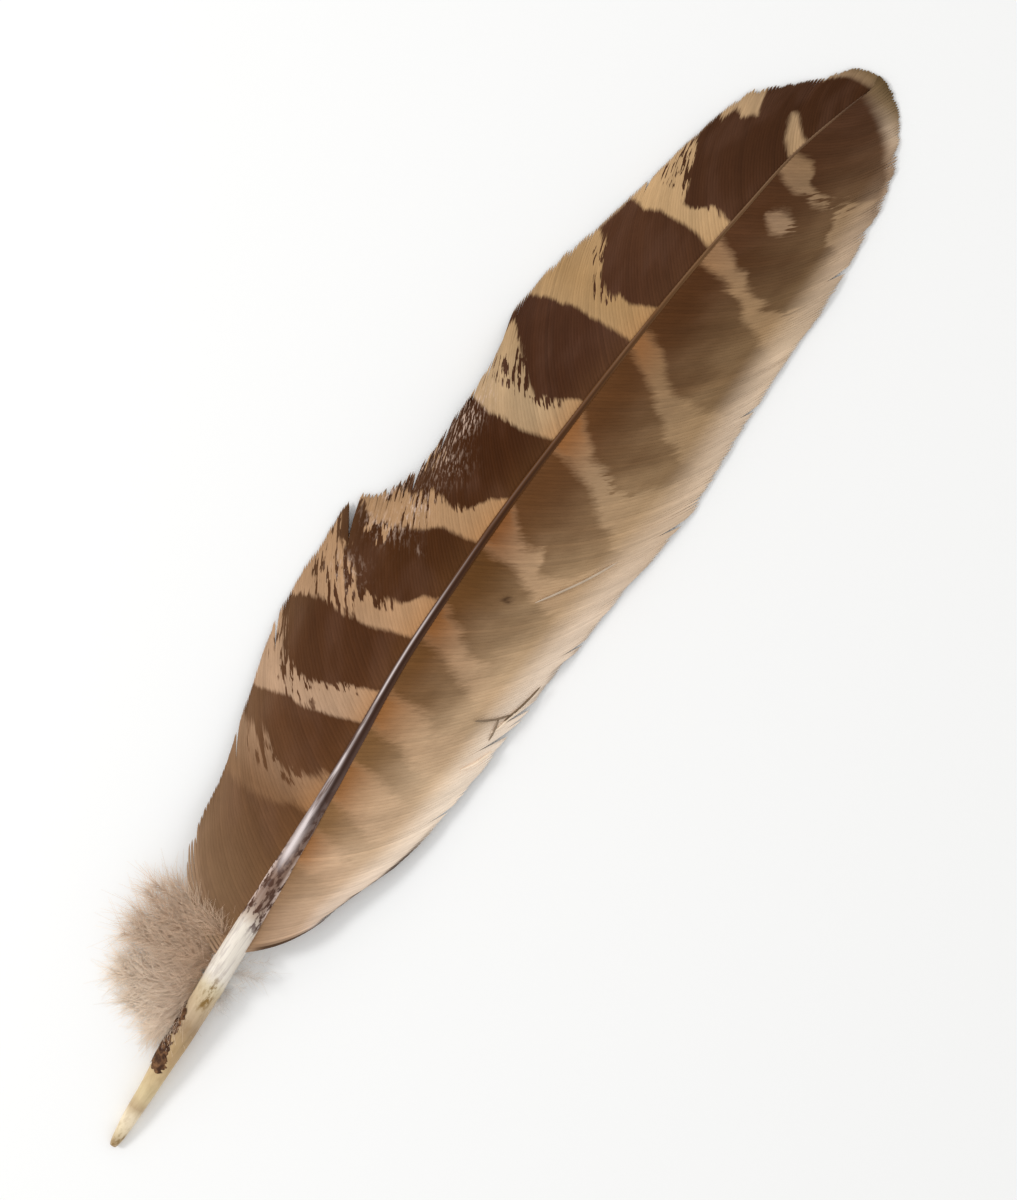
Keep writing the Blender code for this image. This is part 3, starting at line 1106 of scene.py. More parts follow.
@dataclass
class Vane:
    """One web of the feather: a few hundred barbs side by side, hooked into a sheet."""

    name: str
    node: str
    slot: str
    plan: WebPlan
    bars: tuple[PaleBar, ...]
    mottles: tuple[Patch, ...]
    finish: VaneFinish
    bleach_gain: tuple[Point2, ...]
    margin_gain: tuple[Point2, ...]
    rust_share: float
    rust_reach: float
    seed: int
    pale_flecks: tuple[Patch, ...] = ()
    glints: tuple[Patch, ...] = ()
    stains: tuple[Patch, ...] = ()
    # The rim line below is painted shade along the curled rim
    rim_shade_line: tuple[Point2, ...] = ((0.0, 0.0),)  # strength of a dark line along the rim at each y
    cloudiness: float = 0.25
    barb_count: int = 250
    steps: int = 36
    overlap: float = 0.66
    root_depth: float = 0.085
    end_depth: float = 0.03
    loose_overlap: float = 0.25
    shingle: float = 0.05
    root_inset: float = 0.45  # where barbs leave the shaft, in its radii to the side
    root_rise: float = 0.35  # and above its middle
    sweep_fade: Point2 = (77.4, 74.0)  # roots over which the sweep dies out, from the tip
    cut_fade: Point2 = (80.0, 68.0)  # roots over which wear dies out
    bluntness: float = 24.0  # how suddenly a barb narrows at its end
    loose_bluntness: float = 20.0  # how much less where it is downy
    end_width: float = 0.03  # share of its width that a barb ends with
    rust_fall: tuple[Point2, ...] = ((30.0, 1.0), (48.0, 0.35), (60.0, 0.15))
    stray: Stray = Stray()
    strands: Strands = field(init=False)
    curl: Array = field(init=False)

    def __post_init__(self) -> None:
        """Seed the vane's random draws and measure its outline."""
        self.rng = np.random.default_rng(self.seed)
        plan = self.plan
        self.outline = smooth_curve(plan.outline, 900)
        steps = np.linalg.norm(np.diff(self.outline, axis=0), axis=1)
        self.outline_length = np.concatenate([[0.0], np.cumsum(steps)])
        root_y, end_y = np.array(plan.barbs).T
        self.roots = np.linspace(root_y[0], root_y[-1], self.barb_count)
        end_places = np.interp(end_y, self.outline[:, 1], self.outline_length)
        self.end_places = np.interp(self.roots, root_y, end_places)
        self.share = np.linspace(0.0, 1.0, self.steps + 1)[None]
        if plan.worn:
            low, high = plan.worn
            self.worn = between(self.roots, (low - 2.0, low + 2.0), (high + 2.0, high - 2.0))
        else:
            self.worn = np.zeros(self.barb_count)
        self.loose = smooth_step(*plan.downy, self.roots)

    def drift(self, reach: int) -> Array:
        """A random value for each barb that its neighbours partly share."""
        return drifting(self.rng, self.barb_count, reach)

    def tip_ward(self, chord: Array) -> Array:
        """Unit vectors square to each chord, pointing to the feather's tip."""
        return unit(self.plan.side.value * np.stack([-chord[:, 1], chord[:, 0]], axis=1))

    def lay_barbs(self, places: Array) -> Array:
        """Run a curve from the shaft to each barb's end.

        Args:
            places: How far along the vane's outline each barb ends.

        Returns:
            The barbs' middle lines, (barbs, steps + 1, 3).
        """
        plan = self.plan
        ends = [np.interp(places, self.outline_length, self.outline[:, axis]) for axis in (0, 1)]
        ends = np.stack(ends, axis=1)
        shaft = SHAFT_LINE.at(self.roots)
        root_x = shaft[:, 0] + plan.side.value * self.root_inset * shaft[:, 3]
        root = np.stack([root_x, self.roots], axis=1)
        chord = ends - root
        sweep = plan.sweep * smooth_step(*self.sweep_fade, self.roots)[:, None]
        bow = -sweep * np.linalg.norm(chord, axis=1, keepdims=True) * self.tip_ward(chord)
        flat = bowed(root, (root + ends) / 2.0 + 2.0 * bow, ends, self.share[..., None])
        end_z = read_at(plan.outline_rise, ends[:, 1])[:, None]
        root_z = (shaft[:, 2] + self.root_rise * shaft[:, 3])[:, None]
        z = root_z + (end_z - root_z) * self.share**plan.droop
        return np.concatenate([flat, z[..., None]], axis=2)

    def loosen(self, neat: Array) -> Array:
        """Give the neat barbs their splits, worn ends and small irregularities.

        Args:
            neat: The barbs' neat middle lines.

        Returns:
            The middle lines as the barbs lie.
        """
        stray = self.stray
        loose = neat.copy()
        for split in self.plan.splits:
            away = self.roots - split.root_y
            push = np.sign(away) * np.exp(-np.abs(away) / split.spread) * split.opening
            parted = self.lay_barbs(self.end_places + push)
            loose += (parted - neat) * smooth_step(split.starts, 1.0, self.share)[..., None]
        chord = neat[:, -1, :2] - neat[:, 0, :2]
        reach = smooth_step(0.0, stray.full_reach, np.linalg.norm(chord, axis=1))
        waver = stray.waver * self.drift(3) * reach * (1.0 + stray.loose_waver * self.loose)
        shift = waver[:, None] * self.share**2
        loose[..., :2] += shift[..., None] * self.tip_ward(chord)[:, None]
        ripple = stray.ripple * self.drift(9)[:, None] * self.share**2
        ripple += stray.fine_ripple * self.drift(2)[:, None] * self.share**3
        loose[..., 2] += np.abs(ripple)
        return self.wear(loose)

    def wear(self, paths: Array) -> Array:
        """Shorten barbs unevenly, more where the edge is worn, and curl the worn ends.

        Args:
            paths: The barbs' middle lines.

        Returns:
            The shortened middle lines.
        """
        stray = self.stray
        cut = stray.cut * np.abs(self.drift(1)) * smooth_step(*self.cut_fade, self.roots)
        cut += self.worn * np.abs(self.rng.normal(0.0, stray.worn_cut, self.barb_count))
        cut += self.loose * np.abs(self.rng.normal(0.0, stray.loose_cut, self.barb_count))
        self.curl = self.worn * np.abs(self.drift(2)) * stray.curl
        length = np.linalg.norm(paths[:, -1] - paths[:, 0], axis=1)
        keep = 1.0 - np.clip(cut / np.maximum(length, 1.0), 0.0, stray.most_cut)
        share = self.share[0]
        worn_paths = np.empty_like(paths)
        for number, line in enumerate(paths):
            for axis in range(3):
                worn_paths[number, :, axis] = np.interp(share * keep[number], share, line[:, axis])
        worn_paths[..., 2] += self.curl[:, None] * smooth_step(0.85, 1.0, self.share)
        return worn_paths

    def lay_strands(self, neat: Array, loose: Array) -> Strands:
        """Work out each barb's width and lie from its neighbours.

        Args:
            neat: The neat middle lines, which set the width.
            loose: The middle lines as the barbs lie.

        Returns:
            The barbs as rods.
        """
        side = self.plan.side.value
        step_on = np.gradient(neat, axis=0)
        made = Strands(loose, step_on, np.ones(loose.shape[:2]), np.ones(loose.shape[:2]))
        along = made.along()
        square = step_on - (step_on * along).sum(2, keepdims=True) * along
        pitch = np.linalg.norm(square, axis=2)
        across = side * unit(square)
        made.across = unit(across - self.shingle * side * np.cross(along, across))
        power = self.bluntness - self.loose_bluntness * self.loose[:, None]
        taper = np.sqrt(np.clip(1.0 - self.share**power, 0.0, 1.0))
        taper = taper * (1.0 - self.end_width) + self.end_width
        overlap = self.overlap - self.loose_overlap * self.loose[:, None]
        made.half_width = np.clip(pitch, 0.05, 0.8) * overlap * taper
        depth = self.root_depth + (self.end_depth - self.root_depth) * self.share
        made.half_depth = np.broadcast_to(depth * taper, pitch.shape)
        return made

    def build(self) -> bpy.types.Object:
        """Make the vane and put it in the scene.

        Returns:
            The vane's object.
        """
        neat = self.lay_barbs(self.end_places)
        self.strands = self.lay_strands(neat, self.loosen(neat))
        mesh = self.strands.mesh(self.name)
        self.store_fields(mesh)
        return place_piece(mesh, self.finish.material(), self.slot, self.node)

    def height_at(self, spots: Array) -> Array:
        """The height of the vane's upper face.

        Args:
            spots: The (x, y) places to read at, one row each.

        Returns:
            The height of the highest vertex within half a millimetre of each.
        """
        points = self.strands.placed.reshape(-1, 3)
        near = [np.linalg.norm(points[:, :2] - spot, axis=1) < 0.5 for spot in spots]
        return np.array([points[close, 2].max() for close in near])

    def store_fields(self, mesh: bpy.types.Mesh) -> None:
        """Store what the finish needs to know about each point of the vane.

        Args:
            mesh: The vane's mesh.
        """
        side = self.plan.side.value
        step = self.strands.steps_of_vertices
        x, y = self.strands.placed[..., 0], self.strands.placed[..., 1]
        shaft_x = SHAFT_LINE.at(y)[..., 0]
        reach = np.maximum(side * (x - shaft_x), 0.0)
        edge_x = np.interp(y, self.outline[:, 1], self.outline[:, 0])
        outward = np.clip(reach / np.maximum(side * (edge_x - shaft_x), 0.5), 0.0, 1.0)
        paths = self.strands.paths
        length = np.linalg.norm(np.diff(paths, axis=1), axis=2).cumsum(axis=1)
        length = np.concatenate([np.zeros((self.barb_count, 1)), length], axis=1)
        to_end = (length[:, -1:] - length)[:, step]
        faded, margin = self.bleach(y, outward, to_end)
        curled = np.clip(self.curl * 2.2, 0.0, 0.9)[:, None] * smooth_step(2.4, 0.3, to_end)
        # Real stain patches plus the painted shade along the curled rim
        stain_and_rim_shade = patched(self.stains, reach, y) + self.rim_shade(y, outward, to_end)
        tint = 1.0 + 0.035 * self.drift(2) + 0.03 * self.rng.normal(size=self.barb_count)
        fields = {
            "along": (y - QUILL_TIP_Y) / FEATHER_LENGTH,
            "bar": self.bar_depth(reach, y, outward),
            "faded": faded,
            "cloudy": self.cloudiness * 4.0 * faded * (1.0 - faded),
            "margin": margin,
            "rust": self.rust_share * bell(reach, 0.0, self.rust_reach) * read_at(self.rust_fall, y),
            "fleck": 0.8 + 2.0 * outward,
            "mottle": patched(self.mottles, reach, y) - patched(self.pale_flecks, reach, y),
            "glint": np.clip(curled + patched(self.glints, reach, y), 0.0, 0.85),
            "stain_and_rim_shade": np.clip(stain_and_rim_shade, 0.0, 1.0),
            "tint": tint[:, None] * np.ones_like(y),
        }
        for name, values in fields.items():
            add_field(mesh, name, values.ravel())
        beside = side * self.overlap * (self.roots[1] - self.roots[0]) * self.strands.around_of_vertices
        grain = np.stack([self.roots[:, None] + beside[None], length[:, step], 0.0 * y], axis=2)
        add_field(mesh, "grain", grain.reshape(-1, 3))

    def rim_shade(self, y: Array, outward: Array, to_end: Array) -> Array:
        """How strong the painted shade along the vane's curled rim is.

        Args:
            y: Each point's y.
            outward: How far across the vane each point is, from 0 to 1.
            to_end: Length of barb left between each point and its end.

        Returns:
            The strength at each point.
        """
        lowest = smooth_step(self.roots[0] + 0.8, self.roots[0] + 0.2, self.roots)[:, None]
        edge_gap = to_end * self.end_slant()[:, None]
        at_edge = smooth_step(0.55, 0.2, edge_gap) * smooth_step(3.4, 1.6, to_end)
        at_edge = np.maximum(at_edge, lowest * smooth_step(0.1, 0.5, outward))
        return at_edge * read_at(self.rim_shade_line, y)

    def end_slant(self) -> Array:
        """Measure how squarely each barb meets the vane's edge.

        Returns:
            The sine of the angle between each barb's end and the edge.
        """
        ends = self.strands.paths[:, -1, :2]
        heading = unit(ends - self.strands.paths[:, -4, :2])
        number = np.arange(len(ends))
        edge = unit(ends[np.minimum(number + 6, len(ends) - 1)] - ends[np.maximum(number - 6, 0)])
        return np.abs(heading[:, 0] * edge[:, 1] - heading[:, 1] * edge[:, 0])

    def bar_depth(self, reach: Array, y: Array, outward: Array) -> Array:
        """How far inside a pale bar each point is.

        Args:
            reach: Distance of each point from the shaft.
            y: Each point's y.
            outward: How far across the vane each point is, from 0 to 1.

        Returns:
            The depth in softnesses, at most a few either way.
        """
        low = self.drift(2)
        high = self.drift(2) + 0.12 * self.rng.normal(size=self.barb_count)
        jitter = np.array([low[:, None] * np.ones_like(y), high[:, None] * np.ones_like(y)])
        depth = np.max([bar.depth(reach, y, jitter, outward) for bar in self.bars], axis=0)
        return np.clip(depth, -6.0, 6.0)

    def bleach(
        self, y: Array, outward: Array, to_end: Array
    ) -> tuple[Array, Array]:
        """How far each point has faded, and how far it has the colour of the margin.

        Args:
            y: Each point's y.
            outward: How far across the vane each point is, from 0 to 1.
            to_end: Length of barb left between each point and its end.

        Returns:
            The two shares.
        """
        faded = read_at(self.bleach_gain, y) * smooth_step(0.08, 0.98, outward)
        faded = np.maximum(faded, 0.85 * self.loose[:, None])
        margin = smooth_step(0.70, 0.96, outward) * read_at(self.margin_gain, y)
        width = read_at(self.plan.rim, y)
        rim = smooth_step(1.3 * width + 0.01, 0.35 * width, to_end) * np.clip(width, 0.0, 0.9)
        return faded, 1.0 - (1.0 - margin) * (1.0 - rim)


# ---------------------------------------------------------------- shaft


@dataclass
class Shaft:
    """The quill and the solid shaft beyond it, in one tapering length of horn."""

    name: str = "shaft_horn"
    rings: int = 420
    sides: int = 36
    # strengths, widths and turns from the top of the painted highlight, and strengths of the painted crease
    # shade, each read at a y
    highlight_strength: tuple[Point2, ...] = ((-14.0, 1.0), (-6.0, 0.75), (0.0, 0.3), (9.0, 0.1), (25.0, 0.05))
    highlight_width: tuple[Point2, ...] = ((-32.0, 0.50), (-24.0, 0.21))
    highlight_turn: tuple[Point2, ...] = ((-36.0, 0.42), (-28.0, 0.50))
    crease_shade_strength: tuple[Point2, ...] = ((0.0, 0.85), (25.0, 0.6), (50.0, 0.3))
    dirt: tuple[Point2, ...] = (
        (-80.0, 1.0), (-78.2, 0.9), (-77.0, 0.3), (-74.0, 0.12), (-60.0, 0.3), (-55.0, 0.2), (-52.0, 0.0),
    )

    def build(self) -> bpy.types.Object:
        """Make the shaft and put it in the scene.

        Returns:
            The shaft's object.
        """
        line = SHAFT_LINE.sampled(self.rings + 1)
        blank = rod_blank(self.sides, self.rings)
        local = vertex_places(blank)
        step = np.rint(local[:, 2] * self.rings).astype(int)
        middle = line[step]
        ahead = unit(np.gradient(line[:, :3], axis=0)[step])
        across = unit(np.cross(ahead, (0.0, 0.0, 1.0)))
        upward = np.cross(across, ahead)
        turn = np.arctan2(local[:, 1], local[:, 0])
        radius = middle[:, 3] * self.section(turn, middle[:, 1])
        radius *= np.interp(step, (0, 1, 3, self.rings - 3, self.rings), (0.72, 0.9, 1.0, 1.0, 0.4))
        sideways = (np.cos(turn) * radius)[:, None] * across
        raised = (np.sin(turn) * radius)[:, None] * upward
        move_vertices(blank, middle[:, :3] + sideways + raised)
        blank.name = self.name
        blank.shade_smooth()
        self.turn_outward(blank)
        self.store_fields(blank, middle[:, 1], turn)
        return place_piece(blank, HornFinish().material(), "quill_horn", "shaft")

    @staticmethod
    def turn_outward(mesh: bpy.types.Mesh) -> None:
        """Point the faces outwards after the rod was bent.

        Args:
            mesh: The bent rod.
        """
        shape = bmesh.new()
        shape.from_mesh(mesh)
        bmesh.ops.recalc_face_normals(shape, faces=shape.faces[:])
        shape.to_mesh(mesh)
        shape.free()

    def section(self, turn: Array, y: Array) -> Array:
        """The radius, as a share of the round one, at each turn round the section.

        Args:
            turn: The angle round the section, a quarter turn being the top.
            y: Where along the feather the section is.

        Returns:
            The share: round on the quill, squarer with a groove beneath on the shaft.
        """
        solid = smooth_step(-52.0, -38.0, y)
        square = 0.06 * np.cos(4.0 * turn)
        shaded_groove = -0.22 * bell(self.from_turn(turn, -0.5 * math.pi), 0.0, 0.35)
        ridge = -0.07 * bell(self.from_turn(turn, 0.5 * math.pi - 0.3), 0.0, 0.25)
        dried = 0.02 * np.sin(7.0 * turn + 0.3 * y) + 0.012 * np.sin(3.0 * turn - 0.9 * y)
        return 1.0 + solid * (square + shaded_groove + ridge) + dried

    @staticmethod
    def from_turn(turn: Array, centre: float) -> Array:
        """The signed angle from a turn round the section, at most half a turn."""
        return (turn - centre + math.pi) % math.tau - math.pi

    def store_fields(self, mesh: bpy.types.Mesh, y: Array, turn: Array) -> None:
        """Store what the horn finish needs to know about each point.

        Args:
            mesh: The shaft's mesh.
            y: Each point's y.
            turn: Each point's angle round the section.
        """
        off_top = self.from_turn(turn, 0.5 * math.pi)
        pith = between(y, (-48.5, -46.5), (-22.0, -36.0))
        specks = bell(y, -47.6, 1.3) * smooth_step(0.1, -0.5, off_top)
        pale_sides = between(y, (-49.0, -46.0), (-35.0, -41.0)) * smooth_step(0.6, 1.1, np.abs(off_top))
        # Painted highlight: a pale line just left of the shaft's top, strongest towards the quill
        painted_highlight = bell(off_top, read_at(self.highlight_turn, y), read_at(self.highlight_width, y))
        painted_highlight = painted_highlight * smooth_step(-41.5, -37.5, y) * read_at(self.highlight_strength, y)
        # Painted shade: darker flanks and underside, and a dark crease just right of the top
        sides = 0.55 * smooth_step(1.0, 1.5, np.abs(off_top))
        crease_shade = read_at(self.crease_shade_strength, y) * bell(off_top, -0.20, 0.42)
        streak = bell(y, -57.8, 1.8) * bell(off_top, -0.25, 0.36)
        fields = {
            "along": (y - QUILL_TIP_Y) / FEATHER_LENGTH,
            "pith": np.clip(pith + 1.2 * specks, 0.0, 1.0),
            "pale_side": 0.85 * pale_sides,
            "grime": read_at(self.dirt, y) + 2.0 * streak,
            "crumple": 0.55 * between(y, (-58.0, -54.0), (-46.0, -49.0)),
            "painted_highlight": painted_highlight,
            "shaded_groove": np.clip(smooth_step(-38.0, -30.0, y) * (sides + crease_shade), 0.0, 1.0),
        }
        for name, values in fields.items():
            add_field(mesh, name, values)


@dataclass
class TornSheath:
    """Brown flakes of the old sheath that cling to one side of the quill."""

    name: str = "torn_sheath"
    seed: int = 5
    flakes: tuple[tuple[float, float, float, float], ...] = (
        # y, turn round the quill, length, width
        (-67.6, 2.65, 2.8, 1.6), (-68.2, 1.90, 2.0, 1.7), (-66.2, 2.15, 2.6, 1.1), (-65.4, 2.80, 3.0, 1.0),
        (-66.8, 2.35, 1.6, 0.9), (-62.6, 2.62, 2.9, 1.5), (-63.4, 2.35, 1.5, 1.0), (-60.9, 2.80, 1.4, 0.6),
    )
    grid: int = 12
    thickness: float = 0.08

    def build(self) -> bpy.types.Object:
        """Make the flakes and put them in the scene.

        Returns:
            The flakes' object.
        """
        rng = np.random.default_rng(self.seed)
        shape = bmesh.new()
        for flake in self.flakes:
            self.add_flake(shape, rng.uniform(0.0, math.tau, 3), flake)
        bmesh.ops.recalc_face_normals(shape, faces=shape.faces[:])
        mesh = bpy.data.meshes.new(self.name)
        shape.to_mesh(mesh)
        shape.free()
        mesh.shade_smooth()
        return place_piece(mesh, SheathFinish().material(), "quill_horn")

    def add_flake(
        self, shape: bmesh.types.BMesh, phase: Array, flake: tuple[float, float, float, float]
    ) -> None:
        """Wrap one ragged flake round the quill with a lifted edge.

        Args:
            shape: The mesh to add to.
            phase: Three random phases for the ragged outline.
            flake: Its y, its turn round the quill, its length and its width.
        """
        place_y, turn, length, width = flake
        made = bmesh.ops.create_grid(shape, x_segments=self.grid, y_segments=self.grid, size=0.5)
        for vert in made["verts"]:
            across, along = vert.co.x, vert.co.y
            ragged = 1.0 + 0.25 * math.sin(9.0 * along + phase[0]) + 0.18 * math.sin(23.0 * along + phase[1])
            stretch = 1.0 + 0.25 * math.sin(7.0 * across + phase[2])
            x, y, z, quill = SHAFT_LINE.at(np.array(place_y + length * along * stretch))
            radius = quill + (0.05 + 0.5 * max(across + 0.1, 0.0) ** 2 + 0.2 * max(abs(along) - 0.3, 0.0))
            angle = turn + across * ragged * width / quill
            vert.co = Vector((x + radius * math.cos(angle), y, z + radius * math.sin(angle))) * MM
        faces = list({face for vert in made["verts"] for face in vert.link_faces})
        bmesh.ops.solidify(shape, geom=faces, thickness=self.thickness * MM)


# ---------------------------------------------------------------- down and loose barbs


@dataclass
class LooseBarbs:
    """Barbs that came off and lie on a vane."""

    vane: Vane
    lines: tuple[tuple[Point2, ...], ...]
    paleness: tuple[float, ...]
    finish: DownFinish
    name: str = "loose_barbs"
    half_width: float = 0.15
    flatness: float = 0.4
    clearance: float = 0.10
    steps: int = 24

    def build(self) -> bpy.types.Object:
        """Make the loose barbs and put them in the scene.

        Returns:
            The barbs' object.
        """
        flat = np.array([smooth_curve(line, self.steps + 1) for line in self.lines])
        heights = self.vane.height_at(flat.reshape(-1, 2)).reshape(flat.shape[:2]) + self.clearance
        paths = np.concatenate([flat, heights[..., None]], axis=2)
        made = Strands(paths, paths, np.ones(flat.shape[:2]), np.ones(flat.shape[:2]), sides=6)
        made.across = unit(np.cross(made.along(), (0.0, 0.0, 1.0)))
        share = np.linspace(0.0, 1.0, self.steps + 1)[None]
        width = np.sqrt(np.clip(1.0 - (2.0 * share - 1.0) ** 4, 0.02, 1.0))
        made.half_width = self.half_width * width * np.ones((len(paths), 1))
        made.half_depth = self.flatness * made.half_width
        mesh = made.mesh(self.name)
        pale = np.array(self.paleness)[:, None] * np.ones_like(share)
        add_field(mesh, "reach", pale[:, made.steps_of_vertices].ravel())
        add_field(mesh, "tint", np.ones(len(mesh.vertices)))
        return place_piece(mesh, self.finish.material(), "pale_vane")


@dataclass
class DownTuft:
    """A tuft of soft barbs, each carrying many fine loose hairs."""

    name: str
    node: str
    side: Side
    finish: DownFinish
    seed: int
    roots: Point2  # y of the lowest and highest barb
    ends: tuple[Point2, ...]  # where barbs end, from the lowest to the highest
    barb_count: int
    hairs_per_side: int
    hair_length: float
    shortest: float = 0.4
    hair_radius: float = 0.024
    hair_steps: int = 2
    barb_steps: int = 14
    barb_radius: float = 0.035
    barb_paleness: float = 0.95
    root_inset: float = 0.8  # where barbs leave the shaft, in its radii to the side
    lowest: float = 0.08

    def build(self) -> bpy.types.Object:
        """Make the tuft and put it in the scene.

        Returns:
            The tuft's object.
        """
        rng = np.random.default_rng(self.seed)
        barbs = self.barb_paths(rng)
        hairs, reach = self.hair_paths(rng, barbs)
        made = self.round_strands(hairs, self.hair_radius)
        mesh = made.mesh(self.name)
        step = made.steps_of_vertices
        along = np.linspace(0.0, 1.0, self.hair_steps + 1)
        low = smooth_step(-53.0, -64.0, hairs[:, 0, 1])[:, None]
        far = np.clip(0.4 * reach[:, None] + 0.25 * along[None] + 0.6 * low, 0.0, 1.0)
        add_field(mesh, "reach", far[:, step].ravel())
        tint = 1.0 + 0.08 * rng.normal(size=(len(hairs), 1))
        add_field(mesh, "tint", np.broadcast_to(tint, (len(hairs), len(step))).ravel())
        material = self.finish.material()
        self.draw_barbs(barbs, material)
        return place_piece(mesh, material, "grey_down", self.node)

    def draw_barbs(self, barbs: Array, material: bpy.types.Material) -> None:
        """Draw the soft barbs themselves as fine pale threads.

        Args:
            barbs: Their middle lines.
            material: Their finish.
        """
        mesh = self.round_strands(barbs, self.barb_radius).mesh(self.name + "_barbs")
        add_field(mesh, "reach", np.full(len(mesh.vertices), self.barb_paleness))
        add_field(mesh, "tint", np.ones(len(mesh.vertices)))
        place_piece(mesh, material, "grey_down")

    def barb_paths(self, rng: np.random.Generator) -> Array:
        """Lay the soft barbs that carry the hairs.

        Args:
            rng: The source of the draws.

        Returns:
            Their middle lines, (barbs, steps + 1, 3).
        """
        share = np.linspace(0.0, 1.0, self.barb_steps + 1)[None, :, None]
        place = np.sort(rng.uniform(0.0, 1.0, self.barb_count))
        roots_y = np.interp(place, (0.0, 1.0), self.roots)
        shaft = SHAFT_LINE.at(roots_y)
        root_x = shaft[:, 0] + self.side.value * self.root_inset * shaft[:, 3]
        root = np.stack([root_x, roots_y, shaft[:, 2]], axis=1)
        outline = smooth_curve(self.ends, 200)
        ends = outline[np.rint(place * (len(outline) - 1)).astype(int)]
        rise = rng.uniform(0.25, 1.8, self.barb_count) + 1.2 * smooth_step(0.6, 0.95, place)
        ends = np.concatenate([ends, rise[:, None]], axis=1)
        reached = rng.uniform(self.shortest, 1.0, (self.barb_count, 1))
        ends[:, :2] = root[:, :2] + (ends[:, :2] - root[:, :2]) * reached
        bow = rng.normal(0.0, 0.8, (self.barb_count, 3)) * (1.0, 1.0, 0.6)
        return bowed(root, (root + ends) / 2.0 + bow + (0.0, 0.0, 0.9), ends, share)

    def hair_paths(
        self, rng: np.random.Generator, barbs: Array
    ) -> tuple[Array, Array]:
        """Lay the fine hairs along both sides of the soft barbs.

        Args:
            rng: The source of the draws.
            barbs: The soft barbs' middle lines.

        Returns:
            The hairs' middle lines, and how far out on its barb each one starts.
        """
        count = self.barb_count * 2 * self.hairs_per_side
        barb = np.repeat(np.arange(self.barb_count), 2 * self.hairs_per_side)
        place = rng.uniform(0.03, 1.0, count)
        spot = place * self.barb_steps
        low = np.clip(spot.astype(int), 0, self.barb_steps - 1)
        part = (spot - low)[:, None]
        start = barbs[barb, low] * (1.0 - part) + barbs[barb, low + 1] * part
        ahead = unit(barbs[barb, low + 1] - barbs[barb, low])
        sideways = np.cross(ahead, (0.0, 0.0, 1.0)) * rng.choice((-1.0, 1.0), (count, 1))
        direction = ahead * rng.uniform(0.6, 1.0, (count, 1))
        direction = direction + sideways * rng.uniform(0.15, 0.8, (count, 1))
        direction = unit(direction + rng.normal(0.0, 0.2, (count, 3)))
        length = self.hair_length * rng.uniform(0.5, 1.15, (count, 1))
        share = np.linspace(0.0, 1.0, self.hair_steps + 1)[None, :, None]
        curl = rng.normal(0.0, 0.22, (count, 1, 3)) * share**2
        hairs = start[:, None] + (direction * length)[:, None] * share + curl * length[:, None]
        hairs[..., 2] = np.maximum(hairs[..., 2], self.lowest)
        return hairs, place

    @staticmethod
    def round_strands(paths: Array, radius: float) -> Strands:
        """Make fine round rods, thinner at their ends.

        Args:
            paths: Their middle lines.
            radius: Their radius at the root.

        Returns:
            The rods.
        """
        taper = radius * np.linspace(1.0, 0.35, paths.shape[1])[None] * np.ones((len(paths), 1))
        made = Strands(paths, paths, taper, taper, sides=3)
        made.across = unit(np.cross(made.along(), (0.0, 0.0, 1.0)))
        return made


# ---------------------------------------------------------------- studio


